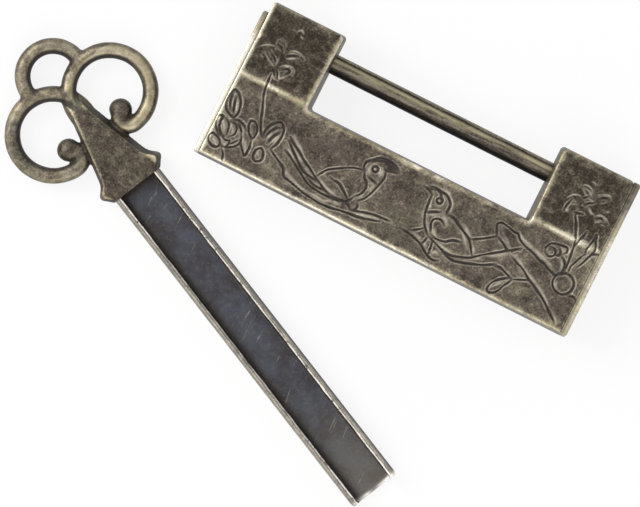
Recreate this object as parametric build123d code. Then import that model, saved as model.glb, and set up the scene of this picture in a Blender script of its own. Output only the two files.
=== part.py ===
from build123d import *

import os
from math import asin, cos, degrees, hypot, radians, sin, tan

# A small horizontal padlock of the traditional Chinese form, with its spring bolt and its key.
#
# The lock lies on its back. X runs along the case from the keyhole end to the bolt's end plate,
# Y runs across it towards the bar, and Z comes up out of the decorated face. The origin is on the
# back face of the case, at the middle of the body. Sizes are in millimetres and angles in degrees.

# Case: two cast half shells that meet at mid depth
case_length = 60.2
body_height = 13.4
case_depth = 11.0
ear_width = 12.15
ear_rise = 12.1  # of the ears above the body
ear_lean = 2.0  # how far each face of an ear leans in at its top
ridge_rise = 0.3  # of the ridge, where the lean starts, above the body
mould_draft = 3.5
ear_side_draft = 7.0  # of the ears' sides in the gap
wall = 1.3
end_wall = 2.0  # at the bolt's end, and what the spring leaves catch behind
ear_corner_radius = 0.6
gap_corner_radius = 0.5
gap_corner_share = 0.8  # of the room below the ridge, the most that its corner takes
face_edge_radius = 0.4
cavity_corner_radius = 0.8
peg_diameter = 1.8
peg_height = 1.4
peg_spacing = 6.2
peg_rise = 3.0  # of the pegs above the body

# End plates
keyhole_plate_thickness = 0.8
keyhole_plate_drop = 1.9  # of its top below the ears' top
keyhole_plug_depth = 1.6
bolt_plate_thickness = 1.0
plate_corner_radius = 0.9
plate_edge_radius = 0.25

# Sliding bolt
bar_diameter = 3.1
bar_gap = 6.1  # free height between the body and the bar
bar_seat_depth = 6.0  # of the bar's end in the far ear
bar_end_chamfer = 0.5
stem_length = 35.6
stem_width = 2.0
stem_depth = 2.4
stem_point = 1.8
stem_tip_width = 0.7
tenon_diameter = 1.7
leaf_thickness = 0.35
leaf_root_length = 4.0
leaf_bend_radius = 6.0
leaf_spread_rounds = 8  # of the sum that finds how far a leaf stands off
leaf_rivet_diameter = 1.0
leaf_rivet_head_diameter = 1.9
leaf_rivet_head_height = 0.35
leaf_rivet_head_bevel = 0.2

# Key
shank_width = 8.3
shank_height = 4.0
channel_width = 6.1
channel_floor = 1.1
shank_draft = 5.0
channel_draft = 2.0
tang_length = 6.0
tang_width = 4.6
tang_height = 2.2
collar_height = 4.3
collar_length = 12.8
collar_neck_width = 2.6
collar_foot_width = 8.9
collar_draft = 13.0
flare_width = 11.7
flare_rise = 1.6  # from the end of the collar up to the flare's points
flare_slope = 1.7  # from the flare's points up to the collar's foot
strand_width = 2.4
strand_height = 3.2
strand_bevel = 0.65
strand_lap = 0.2  # of one ring's strand over the other's where they cross
ring_radius = 6.15
ring_spacing = 10.66
ring_turn = 285.0  # from inside the collar round to the foot of each ring
ring_rise = 13.7  # of the rings' centres above the end of the collar
curl_radius = 1.5
curl_turn = 165.0
knob_diameter = 3.5
knob_height = 3.5
knob_bevel = 0.8
arch_radius = 4.55
arch_rise = 6.98  # of the arch's centre above the rings' centres
arch_overrun = 14.0  # turn of the arch past its half circle, into the rings
arch_strand_width = 2.4
arch_strand_height = 3.0

# Where the key lies beside the lock
key_end_x = -36.15
key_end_y = -15.0
key_turn = -25.47

# How near an edge lies to a line that it counts as on
edge_tolerance = 0.05

# Clearances
bar_clearance = 0.1
bar_end_gap = 0.5
stem_window_gap = 0.25
leaf_window_gap = 0.25
leaf_end_gap = 0.3
leaf_wall_gap = 0.1
leaf_root_gap = 0.08
rivet_hole_gap = 0.05
key_clearance = 0.2
key_tip_gap = 1.1  # between the tip of the pushed-in key and the end wall
key_stem_gap = 0.25
plug_clearance = 0.05
peg_clearance = 0.06
peg_end_gap = 0.2
tang_clearance = 0.05

# Levels and places worked out from the sizes above
seam = case_depth / 2
case_end = case_length / 2
face_fall = seam * tan(radians(mould_draft))  # of a drafted side between the seam and a face
body_top = body_height / 2
ear_top = body_top + ear_rise
ridge = body_top + ridge_rise
ear_inner = case_end - ear_width
cavity_height = body_height - 2 * wall
cavity_depth = case_depth - 2 * wall
bar_radius = bar_diameter / 2
bar_y = body_top + bar_gap + bar_radius
stem_tip = case_end - stem_length
leaf_rivet_x = stem_tip + stem_point + leaf_root_length / 2
leaf_inner = stem_width / 2 + leaf_root_gap
leaf_end_x = case_end - end_wall - leaf_end_gap
key_bottom = seam - stem_depth / 2 - key_stem_gap - channel_floor
keyhole_width = shank_width + 2 * key_clearance
keyhole_height = shank_height + 2 * key_clearance
shank_length = keyhole_plate_thickness + case_length - end_wall - key_tip_gap
window_height = channel_width + 2 * leaf_window_gap
window_depth = stem_depth + 2 * stem_window_gap


def block(x_range, y_range, z_range):
    """A box between two values on each axis."""
    low, high = zip(x_range, y_range, z_range)
    size = [b - a for a, b in zip(low, high)]
    return Pos(*low) * Box(*size, align=(Align.MIN, Align.MIN, Align.MIN))


def along_x(radius, start, end, y, z):
    """A round bar or bore along X."""
    return Pos(start, y, z) * Rot(0, 90, 0) * Cylinder(
        radius, end - start, align=(Align.CENTER, Align.CENTER, Align.MIN)
    )


def polygon(points):
    return make_face(Polyline(*points, close=True))


# Case


def half_section(top):
    """The case's end section from the seam to one face, as Y and the height above the seam."""
    lean = ear_lean * (top - ridge) / (ear_top - ridge)
    return [
        (-body_top, 0),
        (-body_top + face_fall, seam),
        (ridge, seam),
        (top - face_fall * (seam - lean) / seam, seam - lean),
        (top, 0),
    ]


def gap_cutter():
    """The space between the ears, wider towards the face, from the seam up."""
    height = seam + wall
    spread = height * tan(radians(ear_side_draft))
    fall = height * tan(radians(mould_draft))
    open_top = ear_top + wall
    across = polygon(
        [
            (-ear_inner, 0),
            (ear_inner, 0),
            (ear_inner + spread, height),
            (-ear_inner - spread, height),
        ]
    )
    upward = polygon(
        [(body_top, 0), (body_top - fall, height), (open_top, height), (open_top, 0)]
    )
    between_ears = extrude(Plane.XZ * across, amount=open_top, both=True)
    above_body = extrude(Plane.YZ * upward, amount=case_end, both=True)
    return between_ears & above_body


def half_block():
    """One half of the case before its inside is cut, from the seam up."""
    section = Plane.YZ * polygon(half_section(ear_top))
    solid = Pos(-case_end, 0, 0) * extrude(section, amount=case_length)
    solid -= gap_cutter()
    upright = solid.edges().filter_by(lambda e: abs(e.tangent_at(0.5).Z) > 0.9)
    ear_corners = upright.filter_by(lambda e: e.center().Y > ear_top - wall)
    solid = fillet(ear_corners, ear_corner_radius)
    gap_corner = solid.edges().sort_by_distance((-ear_inner, body_top, seam / 2))[0]
    corner_room = gap_corner_share * (ridge - body_top + face_fall)
    solid = fillet(gap_corner, min(gap_corner_radius, corner_room))
    lowest_rim = seam - ear_lean - face_edge_radius
    rim = solid.edges().filter_by(lambda e: e.center().Z > lowest_rim)
    rim = rim.filter_by(lambda e: not is_ridge(e) and e.bounding_box().min.Z > wall)
    return fillet(rim, face_edge_radius)


def is_ridge(edge):
    level = edge.bounding_box().size.Y < edge_tolerance
    return level and abs(edge.center().Y - ridge) < edge_tolerance


def cavity(clearance=0.0):
    """The hollow of the whole case as a rounded bar along X, about the seam."""
    section = RectangleRounded(
        cavity_height - 2 * clearance, cavity_depth - 2 * clearance, cavity_corner_radius
    )
    length = case_length - end_wall
    return Pos(-case_end, 0, 0) * extrude(Plane.YZ * section, amount=length)


def bar_bores():
    """The blind hole in the far ear and the through hole in the near one, about the seam."""
    radius = bar_radius + bar_clearance
    blind = along_x(radius, -ear_inner - bar_seat_depth - bar_end_gap, -ear_inner + wall, bar_y, 0)
    through = along_x(radius, ear_inner - wall, case_end + wall, bar_y, 0)
    return blind + through


def stem_window():
    """The window in the end wall that the stem and the pressed leaves pass."""
    half = window_height / 2
    low, high = -window_depth / 2, window_depth / 2
    return block((case_end - end_wall - wall, case_end + wall), (-half, half), (low, high))


def pegs(clearance=0.0, gap=0.0):
    """Locating pegs in the solid part of the ears, from the seam up."""
    middle = (case_end + ear_inner) / 2
    places = [
        (side * middle + offset, body_top + peg_rise)
        for side in (-1, 1)
        for offset in (-peg_spacing / 2, peg_spacing / 2)
    ]
    peg = Cylinder(
        peg_diameter / 2 + clearance, peg_height + gap, align=(Align.CENTER, Align.CENTER, Align.MIN)
    )
    return [Pos(x, y, 0) * peg for x, y in places]


def half_shell():
    return half_block() - cavity() - bar_bores() - stem_window()


def case_front():
    """The decorated half, with sockets for the pegs."""
    return Pos(0, 0, seam) * (half_shell() - pegs(peg_clearance, peg_end_gap))


def case_back():
    """The plain half, with the pegs."""
    back = mirror(half_shell(), about=Plane.XY)
    return Pos(0, 0, seam) * (back + pegs())


# End plates


def end_plate(top, thickness, corner_radius):
    """A plate over the whole end section of the case, with rounded corners at its top."""
    half = half_section(top)
    outline = polygon([(y, seam + z) for y, z in half] + [(y, seam - z) for y, z in half[-2:0:-1]])
    top_corners = outline.vertices().sort_by(Axis.X)[-3:]
    outline = fillet(top_corners.sort_by(Axis.Y)[0::2], corner_radius)
    return extrude(Plane.YZ * outline, amount=thickness)


def soften_outer_face(plate, side):
    """Rounds the edges of the face that looks outwards along X."""
    face = plate.faces().sort_by(Axis.X)[0 if side < 0 else -1]
    return fillet(face.edges(), plate_edge_radius)


def keyhole_plate():
    plate = end_plate(ear_top - keyhole_plate_drop, keyhole_plate_thickness, plate_corner_radius)
    plate = Pos(-case_end - keyhole_plate_thickness, 0, 0) * plate
    plate = soften_outer_face(plate, -1)
    plug = Pos(0, 0, seam) * cavity(plug_clearance)
    plug &= block(
        (-case_end, -case_end + keyhole_plug_depth), (-body_top, body_top), (0, case_depth)
    )
    half = keyhole_width / 2
    low = key_bottom - key_clearance
    hole = block(
        (-case_end - keyhole_plate_thickness - wall, -case_end + keyhole_plug_depth + wall),
        (-half, half),
        (low, low + keyhole_height),
    )
    return plate + plug - hole


def bolt_end_plate():
    plate = Pos(case_end, 0, 0) * end_plate(ear_top, bolt_plate_thickness, plate_corner_radius)
    plate = soften_outer_face(plate, 1)
    for y in (0, bar_y):
        plate -= along_x(tenon_diameter / 2, case_end, case_end + bolt_plate_thickness, y, seam)
    return plate


# Sliding bolt


def tenon(y):
    """The turned end that is peened flush with the end plate."""
    return along_x(tenon_diameter / 2, case_end - wall, case_end + bolt_plate_thickness, y, seam)


def shackle_bar():
    bar = along_x(bar_radius, -ear_inner - bar_seat_depth, case_end, bar_y, seam)
    end = bar.edges().sort_by(Axis.X)[0]
    return chamfer(end, bar_end_chamfer) + tenon(bar_y)


def bolt_stem():
    """The flat stem, pointed at its free end so that it finds its way back into the window."""
    half, tip_half = stem_width / 2, stem_tip_width / 2
    outline = polygon(
        [
            (stem_tip, -tip_half),
            (stem_tip + stem_point, -half),
            (case_end, -half),
            (case_end, half),
            (stem_tip + stem_point, half),
            (stem_tip, tip_half),
        ]
    )
    low = seam - stem_depth / 2
    stem = Pos(0, 0, low) * extrude(outline, amount=stem_depth)
    return stem + tenon(0) - rivet_shaft(rivet_hole_gap)


def leaf_spread():
    """The angle at which a leaf stands off the stem, so that its end lies by the cavity's wall."""
    root_end = leaf_rivet_x + leaf_root_length / 2
    run = leaf_end_x - root_end
    rise = cavity_height / 2 - leaf_wall_gap - leaf_thickness - leaf_inner
    guess = asin(rise / run)
    for _ in range(leaf_spread_rounds):
        bend_run = leaf_bend_radius * sin(guess)
        bend_rise = leaf_bend_radius * (1 - cos(guess))
        guess = asin((rise - bend_rise) / hypot(run - bend_run, rise - bend_rise))
    return degrees(guess)


def spring_leaf(side):
    """A strip riveted flat on the stem and bent so that it spreads towards the end wall."""
    spread = leaf_spread()
    root_start = leaf_rivet_x - leaf_root_length / 2
    y = leaf_inner + leaf_thickness / 2
    root = Line((root_start, y), (root_start + leaf_root_length, y))
    bend = JernArc(root @ 1, root % 1, leaf_bend_radius, spread)
    run = (leaf_end_x - (bend @ 1).X) / cos(radians(spread))
    blade = Line(bend @ 1, bend @ 1 + (bend % 1) * run)
    strip = trace(Curve() + [root, bend, blade], line_width=leaf_thickness)
    leaf = Pos(0, 0, seam - stem_depth / 2) * extrude(strip, amount=stem_depth)
    if side < 0:
        leaf = mirror(leaf, about=Plane.XZ)
    return leaf - rivet_shaft(rivet_hole_gap)


def rivet_shaft(clearance=0.0):
    """The rivet's shaft, through both leaves and the stem."""
    reach = leaf_inner + leaf_thickness + leaf_root_gap
    shaft = Cylinder(leaf_rivet_diameter / 2 + clearance, 2 * reach)
    return Pos(leaf_rivet_x, 0, seam) * Rot(90, 0, 0) * shaft


def leaf_rivet():
    reach = leaf_inner + leaf_thickness + leaf_root_gap
    head = Cylinder(
        leaf_rivet_head_diameter / 2,
        leaf_rivet_head_height,
        align=(Align.CENTER, Align.CENTER, Align.MIN),
    )
    head = chamfer(head.edges().sort_by(Axis.Z)[-1], leaf_rivet_head_bevel)
    centre = Pos(leaf_rivet_x, 0, seam)
    upper = centre * Rot(-90, 0, 0) * Pos(0, 0, reach) * head
    lower = centre * Rot(90, 0, 0) * Pos(0, 0, reach) * head
    return rivet_shaft() + upper + lower


# Key, drawn along X from the end of its collar, tip at +X, back on Z = 0


def strand_arc(width, height, radius, start, turn):
    """A cast strand with bevelled shoulders, bent along an arc about Z. Angles start at +X."""
    section = chamfer(Rectangle(width, height).vertices(), strand_bevel)
    arc = revolve(Pos(radius, 0, 0) * (Plane.XZ * section), axis=Axis.Z, revolution_arc=abs(turn))
    return Rot(0, 0, min(start, start + turn)) * arc


def ring(side):
    """One side scroll: a wide arc from the neck round to the foot, a tight curl and its knob."""
    turn = side * ring_turn
    wide = strand_arc(strand_width, strand_height, ring_radius, turn, -turn)
    curl = strand_arc(strand_width, strand_height, curl_radius, 0, -side * curl_turn)
    knob = Cylinder(knob_diameter / 2, knob_height)
    knob = chamfer(knob.edges().filter_by(GeomType.CIRCLE), knob_bevel)
    curl_end = Rot(0, 0, -side * curl_turn) * Pos(curl_radius, 0, 0)
    scroll = wide + Pos(ring_radius - curl_radius, 0, 0) * (curl + curl_end * knob)
    level = collar_height / 2 + side * strand_lap / 2
    return Pos(-ring_rise, side * ring_spacing / 2, level) * scroll


def arch():
    """The top loop, from one ring over to the other."""
    turn = 180 + 2 * arch_overrun
    loop = strand_arc(
        arch_strand_width, arch_strand_height, arch_radius, 90 - arch_overrun, turn
    )
    return Pos(-ring_rise - arch_rise, 0, collar_height / 2) * loop


def drafted(side):
    """A piece of the collar from its outline on +Y, drafted both ways from mid height."""
    outline = polygon(side + [(x, -y) for x, y in reversed(side)])
    half = extrude(outline, amount=collar_height / 2, taper=collar_draft)
    return Pos(0, 0, collar_height / 2) * (half + mirror(half, about=Plane.XY))


def collar():
    """The long taper and its pointed flare, each a little longer than it shows."""
    neck, foot, flare = collar_neck_width / 2, collar_foot_width / 2, flare_width / 2
    foot_x = -flare_rise - flare_slope
    widening = (foot - neck) / collar_length
    narrowing = (flare - foot) / flare_rise
    past_end = flare_rise / 2
    taper = [(foot_x - collar_length, neck), (-flare_rise, foot + widening * flare_slope)]
    point = [(foot_x, foot), (-flare_rise, flare), (past_end, foot - narrowing * past_end)]
    above_end = block((foot_x - collar_length, 0), (-flare, flare), (0, collar_height))
    return (drafted(taper) + drafted(point)) & above_end


def tang(clearance=0.0):
    """The shank's tang, or with a clearance the socket for it."""
    low = channel_floor / 2 - clearance
    return block(
        (-tang_length - clearance, 0),
        (-tang_width / 2 - clearance, tang_width / 2 + clearance),
        (low, low + tang_height + 2 * clearance),
    )


def place_key(solid):
    return Pos(key_end_x, key_end_y, 0) * Rot(0, 0, key_turn) * solid


def key_bow():
    bow = collar() + ring(1) + ring(-1) + arch()
    return place_key(bow - tang(tang_clearance))


def key_shank():
    """A channel, open upwards and at its tip, with drafted walls."""
    half, inner = shank_width / 2, channel_width / 2
    depth = shank_height - channel_floor
    outer_fall = shank_height * tan(radians(shank_draft))
    inner_fall = depth * tan(radians(channel_draft))
    side = [
        (half, 0),
        (half - outer_fall, shank_height),
        (inner + inner_fall, shank_height),
        (inner, channel_floor),
    ]
    outline = polygon(side + [(-y, z) for y, z in reversed(side)])
    shank = extrude(Plane.YZ * outline, amount=shank_length)
    return place_key(shank + tang())


NODES = {
    "case_front": case_front,
    "case_back": case_back,
    "keyhole_plate": keyhole_plate,
    "bolt_end_plate": bolt_end_plate,
    "shackle_bar": shackle_bar,
    "bolt_stem": bolt_stem,
    "spring_leaf_upper": lambda: spring_leaf(1),
    "spring_leaf_lower": lambda: spring_leaf(-1),
    "leaf_rivet": leaf_rivet,
    "key_bow": key_bow,
    "key_shank": key_shank,
}

os.makedirs("parts", exist_ok=True)
for name, make in NODES.items():
    export_step(make(), f"parts/{name}.step")
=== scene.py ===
"""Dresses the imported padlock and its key: the engraved front, the drawn bar, the scrolled key and
their antique bronze, on a white table under soft light."""

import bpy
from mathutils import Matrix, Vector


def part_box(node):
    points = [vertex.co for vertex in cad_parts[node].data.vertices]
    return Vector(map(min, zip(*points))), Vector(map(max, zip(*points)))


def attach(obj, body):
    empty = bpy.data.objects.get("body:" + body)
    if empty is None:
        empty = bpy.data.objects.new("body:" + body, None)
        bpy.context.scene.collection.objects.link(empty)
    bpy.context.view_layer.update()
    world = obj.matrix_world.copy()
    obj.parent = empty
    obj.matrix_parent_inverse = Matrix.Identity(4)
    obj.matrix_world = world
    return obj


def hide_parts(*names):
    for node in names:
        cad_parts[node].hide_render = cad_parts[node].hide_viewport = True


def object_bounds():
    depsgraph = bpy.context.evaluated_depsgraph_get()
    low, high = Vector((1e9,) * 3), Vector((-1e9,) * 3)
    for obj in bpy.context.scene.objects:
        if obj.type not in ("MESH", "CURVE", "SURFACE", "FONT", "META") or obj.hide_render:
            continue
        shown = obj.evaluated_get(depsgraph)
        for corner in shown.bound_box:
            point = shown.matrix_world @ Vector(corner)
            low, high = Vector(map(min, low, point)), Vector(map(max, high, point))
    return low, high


bl_info = {
    "name": "Antique Padlock and Key",
    "version": (1, 0, 0),
    "blender": (4, 5, 0),
    "location": "View3D > Sidebar > Padlock",
    "description": "Engraved front, drawn bar, scrolled key and bronze for the packed padlock",
    "category": "Object",
}

from math import cos, pi, radians, sin, tan

import bmesh
import bpy
import numpy as np
from bpy.props import FloatProperty, FloatVectorProperty, PointerProperty
from mathutils import Matrix, Vector

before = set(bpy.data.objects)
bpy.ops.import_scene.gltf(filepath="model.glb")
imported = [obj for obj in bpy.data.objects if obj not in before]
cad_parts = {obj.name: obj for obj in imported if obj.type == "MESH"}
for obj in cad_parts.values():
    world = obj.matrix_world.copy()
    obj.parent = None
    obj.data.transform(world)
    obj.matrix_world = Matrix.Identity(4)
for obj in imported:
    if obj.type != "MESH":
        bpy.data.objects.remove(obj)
CAD_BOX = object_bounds()
MM = 0.001

# The lock's own sizes, in millimetres, as the frame has them
CASE_LOW, CASE_HIGH = (np.array(corner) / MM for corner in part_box("case_front"))
CASE_END = float(CASE_HIGH[0])
SEAM = float(CASE_LOW[2])
FACE = float(CASE_HIGH[2])
BODY_TOP = -float(CASE_LOW[1])
EAR_TOP = float(CASE_HIGH[1])
BAR_LOW, BAR_HIGH = (np.array(corner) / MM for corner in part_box("shackle_bar"))
BAR_RADIUS = float(BAR_HIGH[1] - BAR_LOW[1]) / 2
RIDGE = BODY_TOP + 0.3
EAR_INNER = 17.95
EAR_LEAN = 2.0
MOULD_SLOPE = tan(radians(3.5))
EAR_SIDE_SLOPE = tan(radians(7.0))
EAR_CORNER = 0.6
GAP_CORNER = 0.5

# The key lies in the row frame as in the source: its own X runs down the shank
KEY_END = (-36.15, -15.0)
KEY_TURN = radians(-25.47)
SHANK_LENGTH, SHANK_HALF, SHANK_TOP = 57.9, 4.15, 4.0
SHANK_FLOOR, SHANK_INNER = 1.1, 3.05
RING_X, RING_Y, RING_RADIUS = -13.7, 5.33, 6.15
ARCH_X, ARCH_RADIUS = -20.68, 4.55
KNOB_X, KNOB_Y, KNOB_RADIUS, KNOB_HEIGHT = -10.5, 4.94, 1.75, 1.72
STRAND_LEVEL = 2.15  # height of the strands' middle lines


# ---- Shader expressions


def plug(tree, socket, value):
    """Links a wire to a socket, or gives the socket a plain value."""
    if isinstance(value, Wire):
        tree.links.new(value.socket, socket)
    else:
        socket.default_value = value


def add_node(tree, kind, inputs=None, **settings):
    """Any node: its settings are set first, and then the values or links of its sockets."""
    node = tree.nodes.new(kind)
    for name, value in settings.items():
        setattr(node, name, value)
    for place, value in (inputs or {}).items():
        plug(tree, node.inputs[place], value)
    return node


class Wire:
    """A socket that takes part in arithmetic. Each operator adds one Math node."""

    def __init__(self, tree, socket):
        self.tree = tree
        self.socket = socket

    def math(self, operation, *others, clamp=False):
        values = dict(enumerate((self, *others)))
        node = add_node(self.tree, "ShaderNodeMath", values, operation=operation, use_clamp=clamp)
        return Wire(self.tree, node.outputs[0])

    def __add__(self, other):
        return self.math("ADD", other)

    def __mul__(self, other):
        return self.math("MULTIPLY", other)

    def __sub__(self, other):
        return self.math("SUBTRACT", other)

    def __truediv__(self, other):
        return self.math("DIVIDE", other)

    def __abs__(self):
        return self.math("ABSOLUTE")

    def __rsub__(self, other):
        return self.math("MULTIPLY_ADD", -1.0, other)

    def __rtruediv__(self, other):
        return self.math("POWER", -1.0) * other

    __radd__ = __add__
    __rmul__ = __mul__

    def clipped(self):
        """The value held between 0 and 1."""
        return self.math("ADD", 0.0, clamp=True)

    def over(self, other):
        """The larger of two values."""
        return self.math("MAXIMUM", other)

    def under(self, other):
        """The smaller of two values."""
        return self.math("MINIMUM", other)

    def step(self, low, high):
        """0 below low, 1 above high, and smooth in between. With low above high it falls."""
        values = {"Value": self, "From Min": low, "From Max": high}
        node = add_node(
            self.tree, "ShaderNodeMapRange", values, interpolation_type="SMOOTHSTEP"
        )
        return Wire(self.tree, node.outputs["Result"])

    def band(self, middle, half_width):
        """1 at the middle of a band and 0 past its half width on either side."""
        return 1 - abs(self - middle).step(0.0, half_width)


class Finish:
    """A material in the making, with its one Principled shader."""

    def __init__(self, name):
        self.patina = bpy.context.scene.padlock_patina
        self.material = bpy.data.materials.new(name)
        self.material.use_nodes = True
        self.tree = self.material.node_tree
        self.tree.nodes.clear()
        output = add_node(self.tree, "ShaderNodeOutputMaterial")
        self.shader = add_node(self.tree, "ShaderNodeBsdfPrincipled")
        self.tree.links.new(self.shader.outputs[0], output.inputs["Surface"])
        place = self.node("ShaderNodeTexCoord", "Object")
        to_millimetres = {0: place, "Scale": 1 / MM}
        self.place = self.node("ShaderNodeVectorMath", 0, to_millimetres, operation="SCALE")
        split = add_node(self.tree, "ShaderNodeSeparateXYZ", {0: self.place})
        self.x, self.y, self.z = (Wire(self.tree, out) for out in split.outputs)

    def node(self, kind, output, inputs=None, **settings):
        """One output of a new node, as a wire."""
        node = add_node(self.tree, kind, inputs, **settings)
        return Wire(self.tree, node.outputs[output])

    def mix(self, amount, first, second):
        """A colour between two, by an amount from 0 to 1. Each is a wire or a patina's name."""
        first, second = (
            (*getattr(self.patina, colour), 1) if isinstance(colour, str) else colour
            for colour in (first, second)
        )
        # the node's colours go in at 6 and 7 and out at 2, past its numbers and vectors
        ends = {"Factor": amount, 6: first, 7: second}
        return self.node("ShaderNodeMix", 2, ends, data_type="RGBA", clamp_factor=True)

    def coats(self, colour, *coats):
        """A colour with coats over it, in order. Each is an amount from 0 to 1 and a colour."""
        for amount, coat in coats:
            colour = self.mix(amount, colour, coat)
        return colour

    def noise(self, size, detail=4.0, rough=0.6, stretch=(1.0, 1.0, 1.0), shift=0.0):
        """Noise whose blotches are about so many millimetres across, from 0 to 1."""
        lay = {
            "Vector": self.place,
            "Location": (shift, shift / 2, -shift),
            "Scale": tuple(k / size for k in stretch),
        }
        place = self.node("ShaderNodeMapping", 0, lay)
        grain = {"Vector": place, "Scale": 1.0, "Detail": detail, "Roughness": rough}
        return self.node("ShaderNodeTexNoise", 0, grain)

    def mark(self, name):
        """A number that the piece carries at each of its points."""
        return self.node("ShaderNodeAttribute", "Fac", attribute_name=name)

    def feed(self, **sockets):
        """Feeds sockets of the shader. An underscore stands for the space in a socket's name."""
        for socket, value in sockets.items():
            plug(self.tree, self.shader.inputs[socket.replace("_", " ")], value)

    def fed(self, socket):
        """What already feeds a socket of the shader."""
        return Wire(self.tree, self.shader.inputs[socket].links[0].from_socket)

    def bump(self, height, depth):
        """A normal from a height of 0 to 1 that stands for so many millimetres."""
        relief = {"Height": height, "Distance": depth * MM, "Strength": 1.0}
        return self.node("ShaderNodeBump", 0, relief)


def linear(*screen):
    """A colour as it is seen on a screen, from 0 to 255, turned into scene values."""
    seen = np.array(screen) / 255
    return np.where(seen <= 0.04045, seen / 12.92, ((seen + 0.055) / 1.055) ** 2.4).tolist()


# ---- Bronze finishes


def old_bronze(finish, wear_and_highlight, grime_and_shade, dark, rub_and_lip_highlight=0.0, ragged=2.1):
    """Brown patina in soft blotches, rubbed back to brass where it wears and where a highlight is
    painted, with a ragged edge, and dark where grime stays and where shade is painted. The dark
    amount turns it to a darker brown: painted shade on the ears and plates, and the collar's own
    darker face. The brass turns greyer in patches."""
    blotch = finish.noise(6.0, detail=3.0, rough=0.5)
    mottle = finish.noise(1.3, detail=5.0, rough=0.65, shift=7.0)
    grain = finish.noise(0.3, rough=0.7, shift=3.0)
    warm = finish.noise(4.5, shift=19.0)
    tone = 0.3 * blotch + 0.42 * mottle + 0.28 * grain
    speckle = (0.45 * mottle + 0.55 * grain).step(0.43, 0.62) * 0.3
    field = finish.coats(
        finish.mix(warm.step(0.4, 0.62), "brown", "olive"),
        (tone.step(0.5, 0.41) * 0.9, "umber"),
        (tone.step(0.5, 0.61) * 0.9, "bronze"),
        (grain.step(0.46, 0.32) * 0.7, "umber"),
        (grain.step(0.56, 0.7) * 0.65, "bronze"),
        # a darker, speckled brown: painted shade on the ears and plates, and the collar's own
        # darker face
        (dark * (1.02 - 0.5 * tone.step(0.47, 0.62)), finish.mix(speckle, "shade", "bronze")),
        (rub_and_lip_highlight * (0.5 + tone).clipped(), "lip"),
    )
    worn_and_lit = (wear_and_highlight + (tone - 0.5) * ragged * (wear_and_highlight * 4).under(1)).step(0.12, 0.9)
    bright = (wear_and_highlight * 1.4 + grain * 1.1 - 1.4).step(0.0, 0.6)
    brass = finish.mix(warm.step(0.42, 0.6) * 0.6, "brass", "lip")
    metal = finish.mix(bright, brass, "pale")
    finish.feed(
        Base_Color=finish.coats(field, (worn_and_lit, metal), (grime_and_shade, "grime_and_shade")),
        Metallic=(0.7 + 0.25 * worn_and_lit) * (1 - 0.6 * grime_and_shade),
        Roughness=0.46 + 0.3 * (grain - 0.5) - 0.1 * worn_and_lit + 0.2 * grime_and_shade,
        Normal=finish.bump(mottle * 0.4 + grain * 0.6, 0.06),
    )
    return finish.material


def engraved_bronze():
    """The cast front: bright rims and ridge, worn and partly a painted highlight; dark cuts whose
    lips carry a painted highlight; ears darkened by painted shade.
    """
    finish = Finish("engraved_bronze")
    rim, cut, shade, rub_and_lip_highlight = (finish.mark(name) for name in ("rim", "cut", "shade", "rub_and_lip_highlight"))
    return old_bronze(finish, rim, cut.step(0.12, 0.8) * 0.88, shade, rub_and_lip_highlight)


def case_bronze():
    """The cast back: the same bronze, worn where two of its sides meet."""
    finish = Finish("case_bronze")
    width = 0.9
    back = finish.z.step(width, 0.0)
    long_side = finish.y.band(-BODY_TOP, width).over(finish.y.band(EAR_TOP, width))
    end = abs(finish.x).band(CASE_END, width)
    edges = back.under(long_side).over(back.under(end)).over(end.under(long_side))
    return old_bronze(finish, edges * 0.8, 0, 0.3)


def plate_bronze():
    """The end plates: pale along their edges, a little less so at the right and near the case
    there, worn metal with a painted highlight, with a dark joint at the left, and faces above the
    ridge darkened by painted shade as on the ears."""
    finish = Finish("plate_bronze")
    fall = (finish.y - RIDGE).over(0) * LEAN_SLOPE
    edge = (finish.z + fall - FACE).step(-2.2, -1.2) * (1 - 0.6 * finish.y.step(10, 16))
    edge = edge.over(finish.y.band(-BODY_TOP, 1.0) * 0.8)
    stain = finish.noise(3.0, shift=41.0)
    right = finish.x.step(0, 1)
    near_case = right * finish.x.step(CASE_END + 0.6, CASE_END + 0.3)
    wear_and_highlight = edge * (1.3 - 0.5 * stain - 0.3 * right) * (1 - 0.45 * near_case)
    joint = finish.x.band(-CASE_END - 0.05, 0.26) * 0.6
    # painted shade on the faces above the ridge, as on the ears
    dark = 0.15 + 0.8 * finish.y.step(RIDGE + 0.6, RIDGE + 1.6)
    return old_bronze(finish, wear_and_highlight, joint, dark, wear_and_highlight * 0.8, 1.4)


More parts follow.
